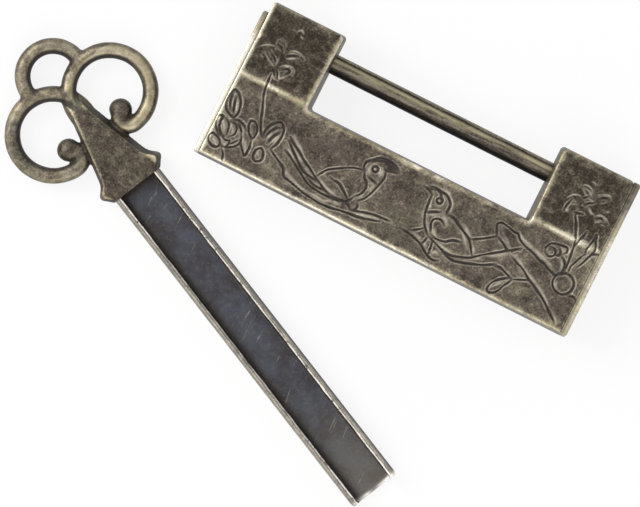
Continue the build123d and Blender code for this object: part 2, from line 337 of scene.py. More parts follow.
def bar_bronze():
    """The drawn bar: a painted highlight of brass along its crown, a painted grey reflection along
    its top with a dark line between, and painted shade nearly black underneath. Across the bar
    runs from -1 to 1."""
    finish = Finish("bar_bronze")
    middle = float(BAR_LOW[1] + BAR_HIGH[1]) / 2
    streak = finish.noise(0.6, detail=5.0, rough=0.65, stretch=(0.12, 1.0, 1.0))
    speck = finish.noise(0.35, rough=0.65, shift=5.0)
    tone = 0.7 * streak + 0.3 * speck
    across = (finish.y - middle) / BAR_RADIUS + (streak - 0.5) * 0.35
    top = (finish.z - SEAM).step(-0.3, 0.3)
    # painted highlight: a band of brass along the crown, where the bar reflects the light
    crown_highlight = across.band(0.36, 0.27)
    # painted reflection: a grey band along the top, with a dark line between it and the crown
    back = across.step(0.6, 0.85)
    line = across.band(0.66, 0.15)
    # painted shade: nearly black underneath and below the seam, together with that dark line
    under = across.step(-0.16, -0.6).over(1 - top).over(line)
    colour = finish.coats(
        finish.mix(tone.step(0.36, 0.64), "umber", "bronze"),
        (crown_highlight * (tone * 1.6 - 0.12).clipped(), "brass"),
        (back, finish.mix(speck.step(0.35, 0.6), "brown", "bronze")),
        (under * (1.25 - tone * 0.6).clipped(), "grime_and_shade"),
    )
    finish.feed(
        Base_Color=colour,
        Metallic=0.8,
        Roughness=0.36 + 0.3 * (tone - 0.4) + 0.15 * under,
        Normal=finish.bump(streak * 0.5 + speck * 0.5, 0.05),
    )
    return finish.material


def key_brass():
    """The cast bow: brass rubbed on the rounds, with a painted highlight on their tops and on one
    side, brown in the hollows and on the collar's face, where a few reddish spots show, and
    painted shade on the walls, the rings' inner sides and the near knob."""
    finish = Finish("key_brass")
    rub_and_highlight, hollow_and_shade, collar = (finish.mark(name) for name in ("rub_and_highlight", "hollow_and_shade", "collar"))
    material = old_bronze(finish, rub_and_highlight, hollow_and_shade, collar * 0.52, ragged=1.3)
    spots = finish.noise(0.9, detail=3.0, shift=31.0).step(0.6, 0.7) * collar * 0.3
    finish.feed(Base_Color=finish.mix(spots, finish.fed("Base Color"), "copper"))
    return material


def shank_bronze():
    """The channel. On each rim, from the inside: a bright line of scraped metal with a painted
    highlight, stronger on the far rim, a broken dark one, a pale olive band and a dark edge; the
    far rim's outer side is darker by painted shade and the near rim's outer side lighter by a
    painted highlight. The floor has gone dark and bluish, a little less so near the tip, with a
    painted shadow beside the walls and under the collar, and the tip shows clean metal. Along runs
    down the shank, and out is the distance from its middle."""
    finish = Finish("shank_bronze")
    corner, tip, floor = (finish.mark(name) for name in ("corner", "tip", "floor"))
    dx, dy = finish.x - KEY_END[0], finish.y - KEY_END[1]
    along = dx * cos(KEY_TURN) + dy * sin(KEY_TURN)
    across = dy * cos(KEY_TURN) - dx * sin(KEY_TURN)
    waver = finish.noise(2.5, shift=13.0)
    fine = finish.noise(0.5, rough=0.7, shift=5.0)
    broken = finish.noise(1.2, rough=0.7, shift=29.0)
    far_rim = across.step(-0.5, 0.5)
    out = abs(across) + (waver - 0.5) * 0.3 + (fine - 0.5) * 0.15
    top = finish.z.step(SHANK_TOP - 0.5, SHANK_TOP - 0.2)
    # the scraped line is strongest near both ends of the shank, and on the far rim, where its inner
    # face carries a painted highlight
    bare_and_highlight = far_rim.over(along.step(38, 54)).over(along.step(12, 4)) * 0.6 + 0.4
    scrape_and_highlight = out.band(SHANK_INNER + 0.15, 0.32) * bare_and_highlight * broken.step(0.3, 0.5)
    crack = out.band(SHANK_INNER + 0.38, 0.13) * fine.step(0.42, 0.52)
    pale = out.band(SHANK_INNER + 0.66, 0.46) * (0.2 + 0.85 * broken)
    outside = out.step(SHANK_INNER + 0.75, SHANK_INNER + 0.95)
    # a dark outer edge, darker on the far rim by painted shade; the near rim's outer side is lit by
    # a painted highlight
    edge = outside * (0.1 + 0.55 * far_rim)
    near_side = outside * (1 - far_rim)
    wear_and_highlight = (top * pale * 0.8).over(tip * 0.5).over(near_side * 0.5)
    # the dark crack, the painted shade of the outer edge and the painted shadow in the corners
    grime_and_shade = (top * crack * 0.7).over(edge).over(corner * 0.9)
    material = old_bronze(finish, wear_and_highlight, grime_and_shade * (1 - tip), 0.1, ragged=1.6)
    # chalky metal: the scraped line with its painted highlight, the clean tip, and the near rim's
    # lit outer side
    chalky = (top * scrape_and_highlight * (1.6 - waver)).over(tip).over(top * near_side * 0.65)
    chalky = chalky.over(top * pale * 0.3).clipped()
    metal = finish.mix(chalky, finish.fed("Base Color"), "scrape_and_highlight")
    cloud = finish.noise(5.5, detail=5.0, rough=0.65, shift=11.0)
    fleck = finish.noise(0.45, detail=5.0, rough=0.75, shift=2.0)
    scratch = finish.noise(0.7, rough=0.7, stretch=(1.0, 0.12, 1.0), shift=23.0)
    steel = finish.coats(
        finish.mix(cloud.step(0.38, 0.62), "slate", "steel"),
        (fleck.step(0.52, 0.72) * 0.3, "bronze"),
        (scratch.step(0.62, 0.72) * 0.4, "lip"),
        (along.step(38, 58) * 0.3, "bronze"),
    )
    finish.feed(Base_Color=finish.mix(floor * (1 - corner), metal, steel))
    return material


def spring_brass():
    """Rolled strip and drawn wire for the bolt works: yellow brass with fine rolling lines."""
    finish = Finish("spring_brass")
    lines = finish.noise(0.25, stretch=(0.06, 1.0, 1.0))
    stain = finish.noise(1.8)
    finish.feed(
        Base_Color=finish.mix(stain.step(0.4, 0.7), "brass", "bronze"),
        Metallic=0.9,
        Roughness=0.32 + 0.2 * lines,
        Normal=finish.bump(lines, 0.01),
    )
    return finish.material


# ---- Mesh helpers


def sheet_quads(rows, columns, closed=False):
    """Quads between neighbouring grid points. A closed sheet's last column joins its first."""
    row = np.arange(rows - 1)[:, None]
    column = np.arange(columns if closed else columns - 1)[None, :]
    after = (column + 1) % columns
    corners = [
        row * columns + column,
        row * columns + after,
        (row + 1) * columns + after,
        (row + 1) * columns + column,
    ]
    return np.stack(np.broadcast_arrays(*corners), -1).reshape(-1, 4)


def ramp(distance, width=1.0):
    """From 0 to 1 over a width, and level on either side of it."""
    return np.clip(distance / width, 0, 1)


def bell(distance, width, power=2):
    """exp(-(d/w)²), or with another power: 1 on a line and next to nothing past twice the width.
    The higher the power, the flatter its top."""
    return np.exp(-((distance / width) ** power))


def add_mesh(name, points, faces, marks=None):
    """A smooth mesh object at the origin from points in millimetres, with its marks."""
    mesh = bpy.data.meshes.new(name)
    mesh.from_pydata((np.asarray(points) * MM).tolist(), [], [list(f) for f in faces])
    for mark, values in (marks or {}).items():
        layer = mesh.attributes.new(mark, "FLOAT", "POINT")
        layer.data.foreach_set("value", np.asarray(values, np.float32).ravel())
    mesh.shade_smooth()
    mesh.update()
    piece = bpy.data.objects.new(name, mesh)
    bpy.context.scene.collection.objects.link(piece)
    return piece


def cast_waver(points, size, seed):
    """Smooth random values from -1 to 1: lattice values a size apart, blended along each axis
    by 3t² - 2t³."""
    cells = 64
    lattice = np.random.default_rng(seed).uniform(-1, 1, (cells, cells, cells))
    spot = np.asarray(points, float) / size
    cell = np.floor(spot).astype(int)
    t = spot - cell
    t = t * t * (3 - 2 * t)
    total = np.zeros(len(spot))
    for corner in np.ndindex(2, 2, 2):
        weight = np.prod(np.where(corner, t, 1 - t), axis=1)
        total += weight * lattice[tuple(((cell + corner) % cells).T)]
    return total


def read_array(items, key, width=1, kind=float):
    """One value of each of a mesh's items, as an array with rows of a width."""
    values = np.empty(len(items) * width, kind)
    items.foreach_get(key, values)
    return values.reshape(-1, width) if width > 1 else values


def mesh_arrays(mesh):
    """A mesh's points in millimetres, its triangles and their normals, as arrays."""
    mesh.calc_loop_triangles()
    points = read_array(mesh.vertices, "co", 3) / MM
    corners = read_array(mesh.loop_triangles, "vertices", 3, int)
    a, b, c = (points[corners[:, k]] for k in range(3))
    normals = np.cross(b - a, c - a)
    lengths = np.linalg.norm(normals, axis=1, keepdims=True)
    return points, corners, normals / np.maximum(lengths, 1e-12)


# ---- The engraving, drawn after the photograph

# Each row is one stroke: its corners' x and y on the face, in turn, in tenths of a millimetre.
# A cut is sunk, a bead is a thin raised line and a swell a broad one.

EAR_FLOWER = {
    "cut": [
        [-256, 88, -256, 81, -255, 73, -254, 63, -252, 54, -248, 44],
        [-252, 96, -248, 92, -245, 85],
        [-266, 131, -261, 130, -256, 126],
        [-247, 122, -241, 126, -232, 129],
        [-269, 115, -263, 111, -258, 107],
        [-245, 101, -238, 105, -233, 103, -236, 97],
    ],
    "bead": [
        [-270, 132, -269, 138, -265, 142, -259, 141, -255, 135, -253, 124],
        [-295, 111, -288, 119, -279, 125, -270, 127],
        [-282, 115, -275, 109, -267, 104, -259, 100, -253, 97],
        [-277, 117, -272, 114, -269, 109],
        [-273, 120, -267, 117],
        [-268, 124, -262, 125, -256, 124],
        [-258, 119, -256, 112, -256, 104, -255, 99],
        [-289, 104, -285, 100],
        [-284, 107, -278, 104],
        [-246, 131, -239, 134, -231, 134, -223, 131, -220, 128],
        [-246, 118, -240, 121, -233, 126],
        [-250, 102, -245, 107, -237, 110, -231, 110, -227, 106, -227, 99],
        [-248, 94, -243, 87, -237, 92, -233, 99],
        [-255, 88, -249, 83, -245, 84],
        [-250, 160, -248, 164, -244, 166, -240, 163],
        [-242, 158, -238, 155],
    ],
    "swell": [
        [-266, 126, -261, 126],
        [-265, 140, -263, 140],
    ],
}
PEONY = {
    "cut": [
        [-254, 65, -251, 52, -245, 37, -240, 23, -234, 9, -228, -1, -224, -3],
        [-295, 42, -297, 32, -297, 21, -293, 12, -286, 7, -277, 5, -274, 13, -275, 22, -279, 32,
         -286, 40, -293, 43, -295, 42],
        [-294, 39, -293, 30, -291, 21, -286, 12],
        [-287, 34, -285, 24, -282, 16, -279, 9],
        [-298, -6, -296, -17, -288, -26, -284, -28],
        [-298, -6, -297, -1, -291, -1, -292, -6, -290, -17, -283, -25, -277, -27],
        [-286, -1, -279, -7, -276, -17, -275, -23],
        [-278, -2, -270, -3, -265, -9, -265, -18, -270, -23],
        [-276, 2, -268, 4, -258, 1, -252, -5],
        [-267, 1, -259, -7, -255, -13],
        [-252, 12, -251, 3, -245, -7, -238, -11, -236, -3, -239, 7, -246, 13, -252, 12],
        [-295, -29, -298, -35, -296, -42, -288, -47, -279, -45, -278, -38, -285, -32, -295, -29],
        [-280, -27, -273, -31, -267, -29, -267, -37, -272, -42],
        [-278, -38, -271, -41, -260, -36, -253, -29, -252, -20, -256, -13],
        [-266, -35, -260, -28, -255, -21],
        [-254, -15, -251, -24, -243, -34, -237, -39, -236, -27, -238, -14],
        [-273, -44, -267, -51, -263, -63],
        [-226, -28, -225, -35, -219, -39, -212, -34, -213, -25, -219, -18, -225, -22, -226, -28],
        [-224, -3, -226, 6, -223, 18, -216, 27, -209, 29, -202, 22, -200, 11, -202, -2, -207, -13],
        [-222, -1, -219, 10, -212, 20, -207, 22],
        [-215, -7, -212, 5, -205, 17],
        [-207, -13, -193, -21, -180, -27, -172, -32],
    ],
    "swell": [
        [-296, 25, -292, 19, -287, 12],
        [-294, 36, -289, 27],
        [-282, 27, -279, 19, -278, 11],
        [-296, -8, -293, -18, -288, -24],
        [-288, -6, -283, -14, -280, -21],
        [-273, -8, -269, -13, -270, -19],
        [-263, 0, -257, -4, -254, -9],
        [-246, 5, -243, 0, -241, -6],
        [-292, -35, -288, -38, -282, -42],
        [-269, -34, -272, -39],
        [-263, -34, -258, -29, -255, -24],
        [-249, -18, -243, -24, -240, -32],
        [-222, -25, -218, -31],
        [-217, 6, -215, 14, -210, 18],
        [-208, -2, -205, 6, -202, 14],
    ],
}
LEFT_BIRD = {
    "cut": [
        [-189, 17, -178, 9, -167, 3, -155, -5, -142, -12, -129, -20, -119, -25, -108, -31,
         -97, -34],
        [-188, 11, -176, 0, -162, -11, -149, -20, -136, -23, -124, -24],
        [-187, -4, -177, -9, -165, -16, -154, -23, -142, -30, -131, -35, -119, -37, -107, -38,
         -95, -37, -83, -36, -73, -34],
        [-140, -26, -130, -30, -119, -32, -107, -32],
        [-188, -24, -181, -28, -176, -32, -170, -41, -160, -43, -147, -46, -134, -49, -119, -51,
         -105, -52, -89, -51, -74, -48, -58, -46, -42, -44, -27, -40, -13, -36],
        [-61, -40, -52, -38, -39, -34, -26, -31, -14, -30, 1, -29],
        [-127, -17, -123, -10, -117, -2, -107, 5, -97, 11, -86, 17, -77, 20, -69, 21],
        [-67, 22, -71, 27, -70, 35, -62, 43, -54, 49, -45, 51, -35, 50, -26, 47, -19, 41],
        [-65, 37, -59, 42, -50, 46, -41, 47, -31, 45, -22, 42],
        [-19, 41, -28, 39, -39, 36, -44, 41],
        [-43, 45, -36, 44, -28, 41],
        [-39, 41, -32, 40, -26, 40],
        [-67, 22, -63, 12, -57, 7, -54, -2, -57, -12, -64, -20],
        [-59, 17, -51, 14, -42, 12],
        [-38, 35, -36, 25, -38, 15, -41, 4, -45, -8, -50, -17, -57, -23],
        [-68, 6, -68, 4],
        [-109, -10, -103, -12, -97, -12, -90, -14, -83, -19, -76, -24, -70, -29],
        [-97, -34, -84, -34, -73, -32, -67, -26, -64, -20],
        [-73, -34, -65, -36, -61, -40],
        [-56, -27, -53, -30, -54, -36, -58, -39],
    ],
    "swell": [
        [-184, 20, -174, 13, -163, 5],
        [-186, 0, -175, -6, -168, -12],
        [-167, -1, -159, -8, -148, -14, -139, -18],
        [-136, -28, -126, -31, -115, -33],
        [-186, -22, -173, -32, -160, -37, -144, -43, -129, -45, -116, -45, -103, -46, -91, -41,
         -77, -41],
        [-121, -19, -112, -25, -100, -29, -89, -30],
        [-63, 32, -61, 24, -57, 20],
        [-43, 38, -43, 27, -46, 17],
        [-55, 11, -45, 8, -47, -2],
        [-57, -15, -53, -12],
        [-64, -35, -58, -33],
        [-50, -42, -35, -37, -21, -33],
        [-52, 31, -52, 30],
    ],
}
RIGHT_BIRD = {
    "cut": [
        [21, 42, 27, 40, 33, 41, 39, 43],
        [30, 45, 39, 46, 49, 45, 57, 44, 65, 39, 70, 32, 70, 21, 73, 19],
        [37, 46, 46, 44, 51, 41, 52, 35],
        [22, 41, 31, 39, 39, 36],
        [39, 36, 39, 26, 40, 15, 42, 4, 47, -8, 54, -17, 61, -23],
        [44, 8, 52, 13, 62, 17],
        [62, -18, 58, -9, 56, -2, 58, 4, 65, 7, 71, 5, 76, 1],
        [73, 19, 83, 18, 94, 12, 106, 6, 116, 1, 123, -7, 130, -17, 134, -21],
        [65, -19, 70, -21, 78, -21, 87, -19, 97, -12, 110, -9],
        [61, -23, 73, -27, 87, -32, 100, -34, 113, -31, 130, -24, 144, -13, 156, -4, 174, 9,
         184, 16, 193, 23],
        [91, -35, 107, -39, 122, -36, 143, -29, 158, -22, 170, -15],
        [61, -23, 59, -33, 56, -39],
        [70, -27, 72, -38, 73, -45],
        [18, -31, 31, -32, 44, -35, 56, -39, 65, -45, 74, -50, 82, -52, 91, -49],
        [33, -27, 41, -22, 50, -15],
        [119, 1, 130, 7, 142, 15, 153, 23],
    ],
    "swell": [
        [52, 50, 60, 47, 68, 41, 73, 33, 76, 23],
        [47, 4, 52, -6, 60, -17],
        [43, 21, 44, 14],
        [47, 5, 55, 10, 63, 14],
        [66, 15, 74, 10, 78, 4],
        [79, 23, 95, 18, 107, 12, 117, 5],
        [76, 15, 91, 12, 102, 6, 112, -3, 121, -15],
        [65, -9, 67, -15, 73, -19],
        [80, -26, 92, -29, 101, -28],
        [35, -28, 45, -30, 52, -31],
        [124, -1, 129, -9, 133, -15],
        [151, 41, 159, 31, 170, 23, 178, 16],
        [139, -22, 146, -17],
        [153, -10, 166, -2, 178, 6],
        [61, -35, 66, -39],
        [78, -45, 80, -39, 86, -41],
        [188, 9, 194, 9],
        [55, 31, 56, 28],
    ],
}
TWIGS_AND_POT = {
    "cut": [
        [153, 23, 148, 31, 145, 40, 150, 44, 161, 43, 173, 40, 179, 40, 185, 34, 195, 29, 210, 25,
         226, 19, 233, 18, 246, 12, 257, 9],
        [153, 23, 164, 18, 174, 12, 179, 9],
        [182, 12, 186, 18, 193, 21],
        [168, -17, 178, -17, 188, -20, 197, -23, 201, -24],
        [197, -24, 187, -31, 178, -40, 174, -49, 175, -56, 183, -56, 190, -49, 194, -39, 200, -28,
         201, -24],
        [201, -24, 209, -21, 220, -16, 227, -14],
        [185, 6, 196, 1, 209, -4, 221, -12, 231, -17, 244, -24, 258, -32, 272, -43, 288, -55],
        [227, 35, 225, 42, 230, 50, 240, 53, 247, 54, 254, 54, 256, 48, 252, 43],
        [227, 35, 233, 31, 240, 34, 241, 41, 236, 45, 230, 45],
        [242, 38, 247, 38, 248, 43, 244, 49],
        [251, 40, 258, 35, 262, 29, 263, 20, 261, 14],
        [287, -10, 293, -7, 299, -9, 302, -11],
        [266, 22, 265, 34, 263, 50, 261, 63, 257, 76, 248, 93],
        [262, 60, 264, 69, 267, 81, 269, 87],
        [272, 21, 271, 32, 275, 43, 279, 53, 282, 58],
        [282, 58, 280, 64, 282, 73, 284, 84, 283, 92],
        [279, 34, 284, 44, 288, 55, 290, 60, 292, 70, 288, 81, 284, 91],
        [290, 60, 296, 65, 305, 66],
        [261, 14, 266, 18, 272, 20],
    ],
    "swell": [
        [190, 9, 199, 5, 211, -3, 222, -8, 236, -14, 250, -22, 260, -30, 274, -40, 289, -53],
        [178, 44, 186, 38, 198, 34, 213, 30, 229, 25, 245, 19, 256, 15],
        [233, 38, 234, 38],
        [240, 45, 242, 43],
        [249, 50, 249, 47],
        [253, 35, 259, 28, 260, 20],
        [262, 3, 264, -5, 273, -9],
        [274, 16, 282, 13, 287, 5],
        [271, 68, 277, 67],
        [284, 69, 288, 68],
        [280, 44, 285, 51],
        [302, 61, 301, 56],
        [177, -49, 183, -43, 191, -33],
        [273, 38, 272, 28],
    ],
}
POT_FLOWERS = {
    "cut": [
        [241, 108, 245, 99, 251, 90, 255, 79, 259, 70],
        [267, 74, 268, 83, 269, 88],
        [285, 91, 287, 84],
        [249, 123, 252, 128, 260, 132],
        [224, 103, 225, 113, 228, 122],
        [263, 141, 270, 146, 278, 148],
        [242, 131, 248, 137],
        [273, 113, 279, 116, 285, 114],
        [252, 110, 246, 108, 239, 107],
    ],
    "bead": [
        [233, 148, 237, 151, 245, 150, 254, 144, 260, 135],
        [236, 143, 244, 137, 253, 134, 260, 135],
        [238, 146, 246, 144, 255, 137],
        [243, 159, 246, 160, 250, 157],
        [259, 144, 267, 150, 276, 152, 283, 147],
        [264, 134, 271, 137, 277, 142],
        [220, 121, 226, 129, 234, 132, 242, 131, 251, 125],
        [231, 120, 236, 123],
        [225, 105, 230, 104],
        [240, 112, 243, 113],
        [244, 121, 247, 121],
        [231, 115, 235, 118, 241, 118],
        [269, 114, 276, 120, 285, 119, 294, 113],
        [273, 107, 281, 111],
        [282, 129, 285, 129],
        [256, 122, 262, 117, 267, 116],
        [283, 108, 289, 108],
    ],
    "swell": [
        [248, 147, 255, 141],
        [233, 122, 234, 121],
        [227, 105, 229, 105],
        [241, 113, 242, 113],
    ],
}
# The birds' eyes and the pot's mouth, cut round: x, y and radius in millimetres
ROUNDS = [(-5.4, 3.05, 0.42), (5.25, 3.15, 0.42), (27.2, 0.4, 1.6)]


def smooth_stroke(corners, spacing):
    """Points along a curve through the corners. On each run it is the cubic whose slope at either
    end is half the step between that corner's neighbours."""
    p = np.asarray(corners, float)
    ends = np.vstack([2 * p[0] - p[1], p, 2 * p[-1] - p[-2]])
    pieces = []
    for a, b, c, d in zip(ends[:-3], ends[1:-2], ends[2:-1], ends[3:]):
        count = max(2, int(np.ceil(np.linalg.norm(c - b) / spacing)))
        t = np.linspace(0, 1, count, endpoint=False)[:, None]
        bend, twist = 2 * a - 5 * b + 4 * c - d, 3 * b - a - 3 * c + d
        pieces.append(0.5 * (2 * b + (c - a) * t + bend * t**2 + twist * t**3))
    return np.vstack([*pieces, p[-1:]])


def round_stroke(x, y, radius, spacing):
    """A closed round: cosine and sine of a full turn, scaled and moved to its place."""
    t = np.linspace(0, 2 * pi, int(2 * pi * radius / spacing) + 8)
    return np.stack([x + radius * np.cos(t), y + radius * np.sin(t)], 1)


def distance_to_stroke(points, line):
    """Distance from each point to a polyline, the least over its runs of the distance to the
    nearest point of the run, and how strong the stroke is there: it fades over its ends."""
    best = np.full(len(points), np.inf)
    along = np.zeros(len(points))
    lengths = np.hypot(*np.diff(line, axis=0).T)
    total, start = lengths.sum(), 0.0
    for a, b, length in zip(line[:-1], line[1:], lengths):
        run = b - a
        t = ramp((points - a) @ run, max(run @ run, 1e-12))
        away = np.hypot(*(points - a - t[:, None] * run).T)
        nearer = away < best
        best[nearer] = away[nearer]
        along[nearer] = start + t[nearer] * length
        start += length
    if np.hypot(*(line[0] - line[-1])) < 0.02:  # a closed stroke
        return best, np.ones(len(points))
    fade, end_strength = min(0.8, total / 3), 0.4
    from_end = np.minimum(along, total - along)
    return best, ramp(end_strength + (1 - end_strength) * from_end / fade)


def engrave(points):
    """How far each point lies in a cut, on a cut's lip, on a thin raised line and on a swelling,
    from 0 to 1. Each is a bell of the distance to its stroke, and a lip is the same bell about
    the cut's shoulder. The width wavers, as the old die's lines do."""
    cutting = bpy.context.scene.padlock_engraving
    width, spacing = cutting.cut_width / 2 / MM, 0.2
    drawing = {"cut": [round_stroke(*shape, spacing) for shape in ROUNDS], "bead": [], "swell": []}
    for group in (EAR_FLOWER, PEONY, LEFT_BIRD, RIGHT_BIRD, TWIGS_AND_POT, POT_FLOWERS):
        for kind, strokes in group.items():
            for stroke in strokes:
                corners = np.reshape(stroke, (-1, 2)) / 10
                drawing[kind].append(smooth_stroke(corners, spacing))
    flat = np.column_stack([points, np.zeros(len(points))])
    waver = 1 + 0.28 * cast_waver(flat, 1.5, 21) + 0.16 * cast_waver(flat, 0.5, 22)
    bells, share = {}, {"cut": 1.0, "bead": 0.62, "swell": 1.2}
    for kind, lines in drawing.items():
        wide = share[kind] * width * waver
        best, strength = np.full(len(points), np.inf), np.zeros(len(points))
        reach = 5 * width
        for line in lines:
            low, high = line.min(0) - reach, line.max(0) + reach
            near = np.where(np.all((points > low) & (points < high), axis=1))[0]
            away, power = distance_to_stroke(points[near], line)
            closer = away < best[near]
            best[near[closer]] = away[closer]
            strength[near[closer]] = power[closer]
        bells[kind] = strength * bell(best, wide)
        if kind == "cut":
            bells["lip"] = strength * bell(best - 1.6 * wide, 0.42 * width)
    return bells


# ---- The front casting


class Rim:
    """A rounded rim between the face and a wall: where its round starts on the face, how far it
    stands out past the sharp edge, and how far it falls."""

    def __init__(self, reach, out, fall):
        self.reach, self.out, self.fall = reach, out, fall

    def lines(self):
        """Distances inside the edge, from the face to the wall: reach - (reach + out) sin a."""
        a = np.linspace(0, pi / 2, 7)
        return self.reach - (self.reach + self.out) * np.sin(a)

    def drop(self, inside):
        """How far the round has fallen at a distance inside the edge: fall (1 - cos a)."""
        q = ramp(self.reach - inside, self.reach + self.out)
        return self.fall * (1 - np.sqrt(1 - q * q))


TUCK = 0.012  # how far the skin's lowest row hides behind the wall below it
TUCK_FALL = 0.5  # how far below the face that row lies
GAP_STEP = 0.05  # how far that row lies past the gap's rims, before it is tucked
NICK_DEPTH = 0.22
WALL_SLOPE = 0.15  # the upward share of a normal: less on the walls, more on face and rims
END_RIM = Rim(0.2, 0.0, 0.2)
WALL_RIM = Rim(0.376, 0.023, 0.3756)
TOP_RIM = Rim(0.312, 0.019, 0.313)
GAP_RIM = Rim(0.365, 0.033, 0.363)
BODY_EDGE = BODY_TOP - (FACE - SEAM) * MOULD_SLOPE
EAR_EDGE = EAR_TOP - (FACE - SEAM - EAR_LEAN) * MOULD_SLOPE
LEAN_SLOPE = EAR_LEAN / (EAR_EDGE - RIDGE)
SIDE_EDGE = EAR_INNER + (FACE - SEAM) * EAR_SIDE_SLOPE


def face_level(y):
    """Height of the face: flat up to the ridge, then leaning in, with the crease rounded by
    w ln(1 + exp((y - ridge) / w))."""
    soft = 0.14
    past = soft * np.logaddexp(0, (y - RIDGE) / soft)
    return FACE - LEAN_SLOPE * past


def side_edge(y):
    """Where an ear's drafted inner side meets the face, as a distance from the middle."""
    return EAR_INNER + (face_level(y) - SEAM) * EAR_SIDE_SLOPE


def even(start, end, step):
    """Evenly spaced values between two others, without the two."""
    count = max(2, int(np.ceil(abs(end - start) / step)) + 1)
    return np.linspace(start, end, count)[1:-1]


def front_lines(step):
    """The grid's lines: close together over the rims and even in between. Returns the X lines,
    the Y lines and the index of the first line past each gap rim."""
    gap, past = GAP_RIM.lines(), GAP_RIM.out + GAP_STEP
    left = np.r_[-CASE_END + TUCK, -CASE_END + END_RIM.lines()[::-1]]
    side = np.r_[-(SIDE_EDGE + gap), -(SIDE_EDGE - past)]
    x_left = np.r_[left, even(left[-1], side[0], step), side]
    x_lines = np.r_[x_left, even(side[-1], -side[-1], step), -x_left[::-1]]
    low = np.r_[-BODY_EDGE + TUCK - WALL_RIM.out, -BODY_EDGE + WALL_RIM.lines()[::-1]]
    floor = np.r_[BODY_EDGE - gap, BODY_EDGE + past]
    top = np.r_[EAR_EDGE - TOP_RIM.lines(), EAR_EDGE + TOP_RIM.out - TUCK]
    y_body = np.r_[low, even(low[-1], floor[0], step), floor]
    y_lines = np.r_[y_body, even(floor[-1], top[0], step), top]
    return x_lines, y_lines, len(x_left) - 1, len(y_body) - 1


def round_ear_corners(side_in, top_in):
    """Rounds a square corner in plan. With u and v the distances past the corner's centre, they
    become u sqrt(1 - v²/2r²) and v sqrt(1 - u²/2r²), which makes the square a quarter disc."""
    r = EAR_CORNER
    u, v = r - side_in, r - top_in
    inside = (u > 0) & (v > 0)
    u2 = np.where(inside, u * np.sqrt(ramp(1 - v * v / (2 * r * r))), u)
    v2 = np.where(inside, v * np.sqrt(ramp(1 - u * u / (2 * r * r))), v)
    return r - u2, r - v2


def gap_corner_shift(a, b):
    """Rounds the gap's inner corner in plan. A point on the edge at t from the corner goes to the
    arc at 45 (1 - t/r) degrees, and points off the edge follow it less and less."""
    r, fade = GAP_CORNER, 1.3
    floor = (a < 0) & (b <= 0)
    wall = (a >= 0) & (b > 0)
    t = np.where(floor, -a, np.where(wall, b, 0.0))
    off = np.where(floor, -b, np.where(wall, a, np.hypot(a, b)))
    t = np.clip(t, 0, r)
    turn = pi / 4 * (1 - t / r)
    along, across = t - r + r * np.sin(turn), r * (1 - np.cos(turn))
    dx = np.where(wall, -across, along)
    dy = np.where(wall, -along, across)
    follow = ramp(1 - off / fade) ** 2
    return dx * follow, dy * follow


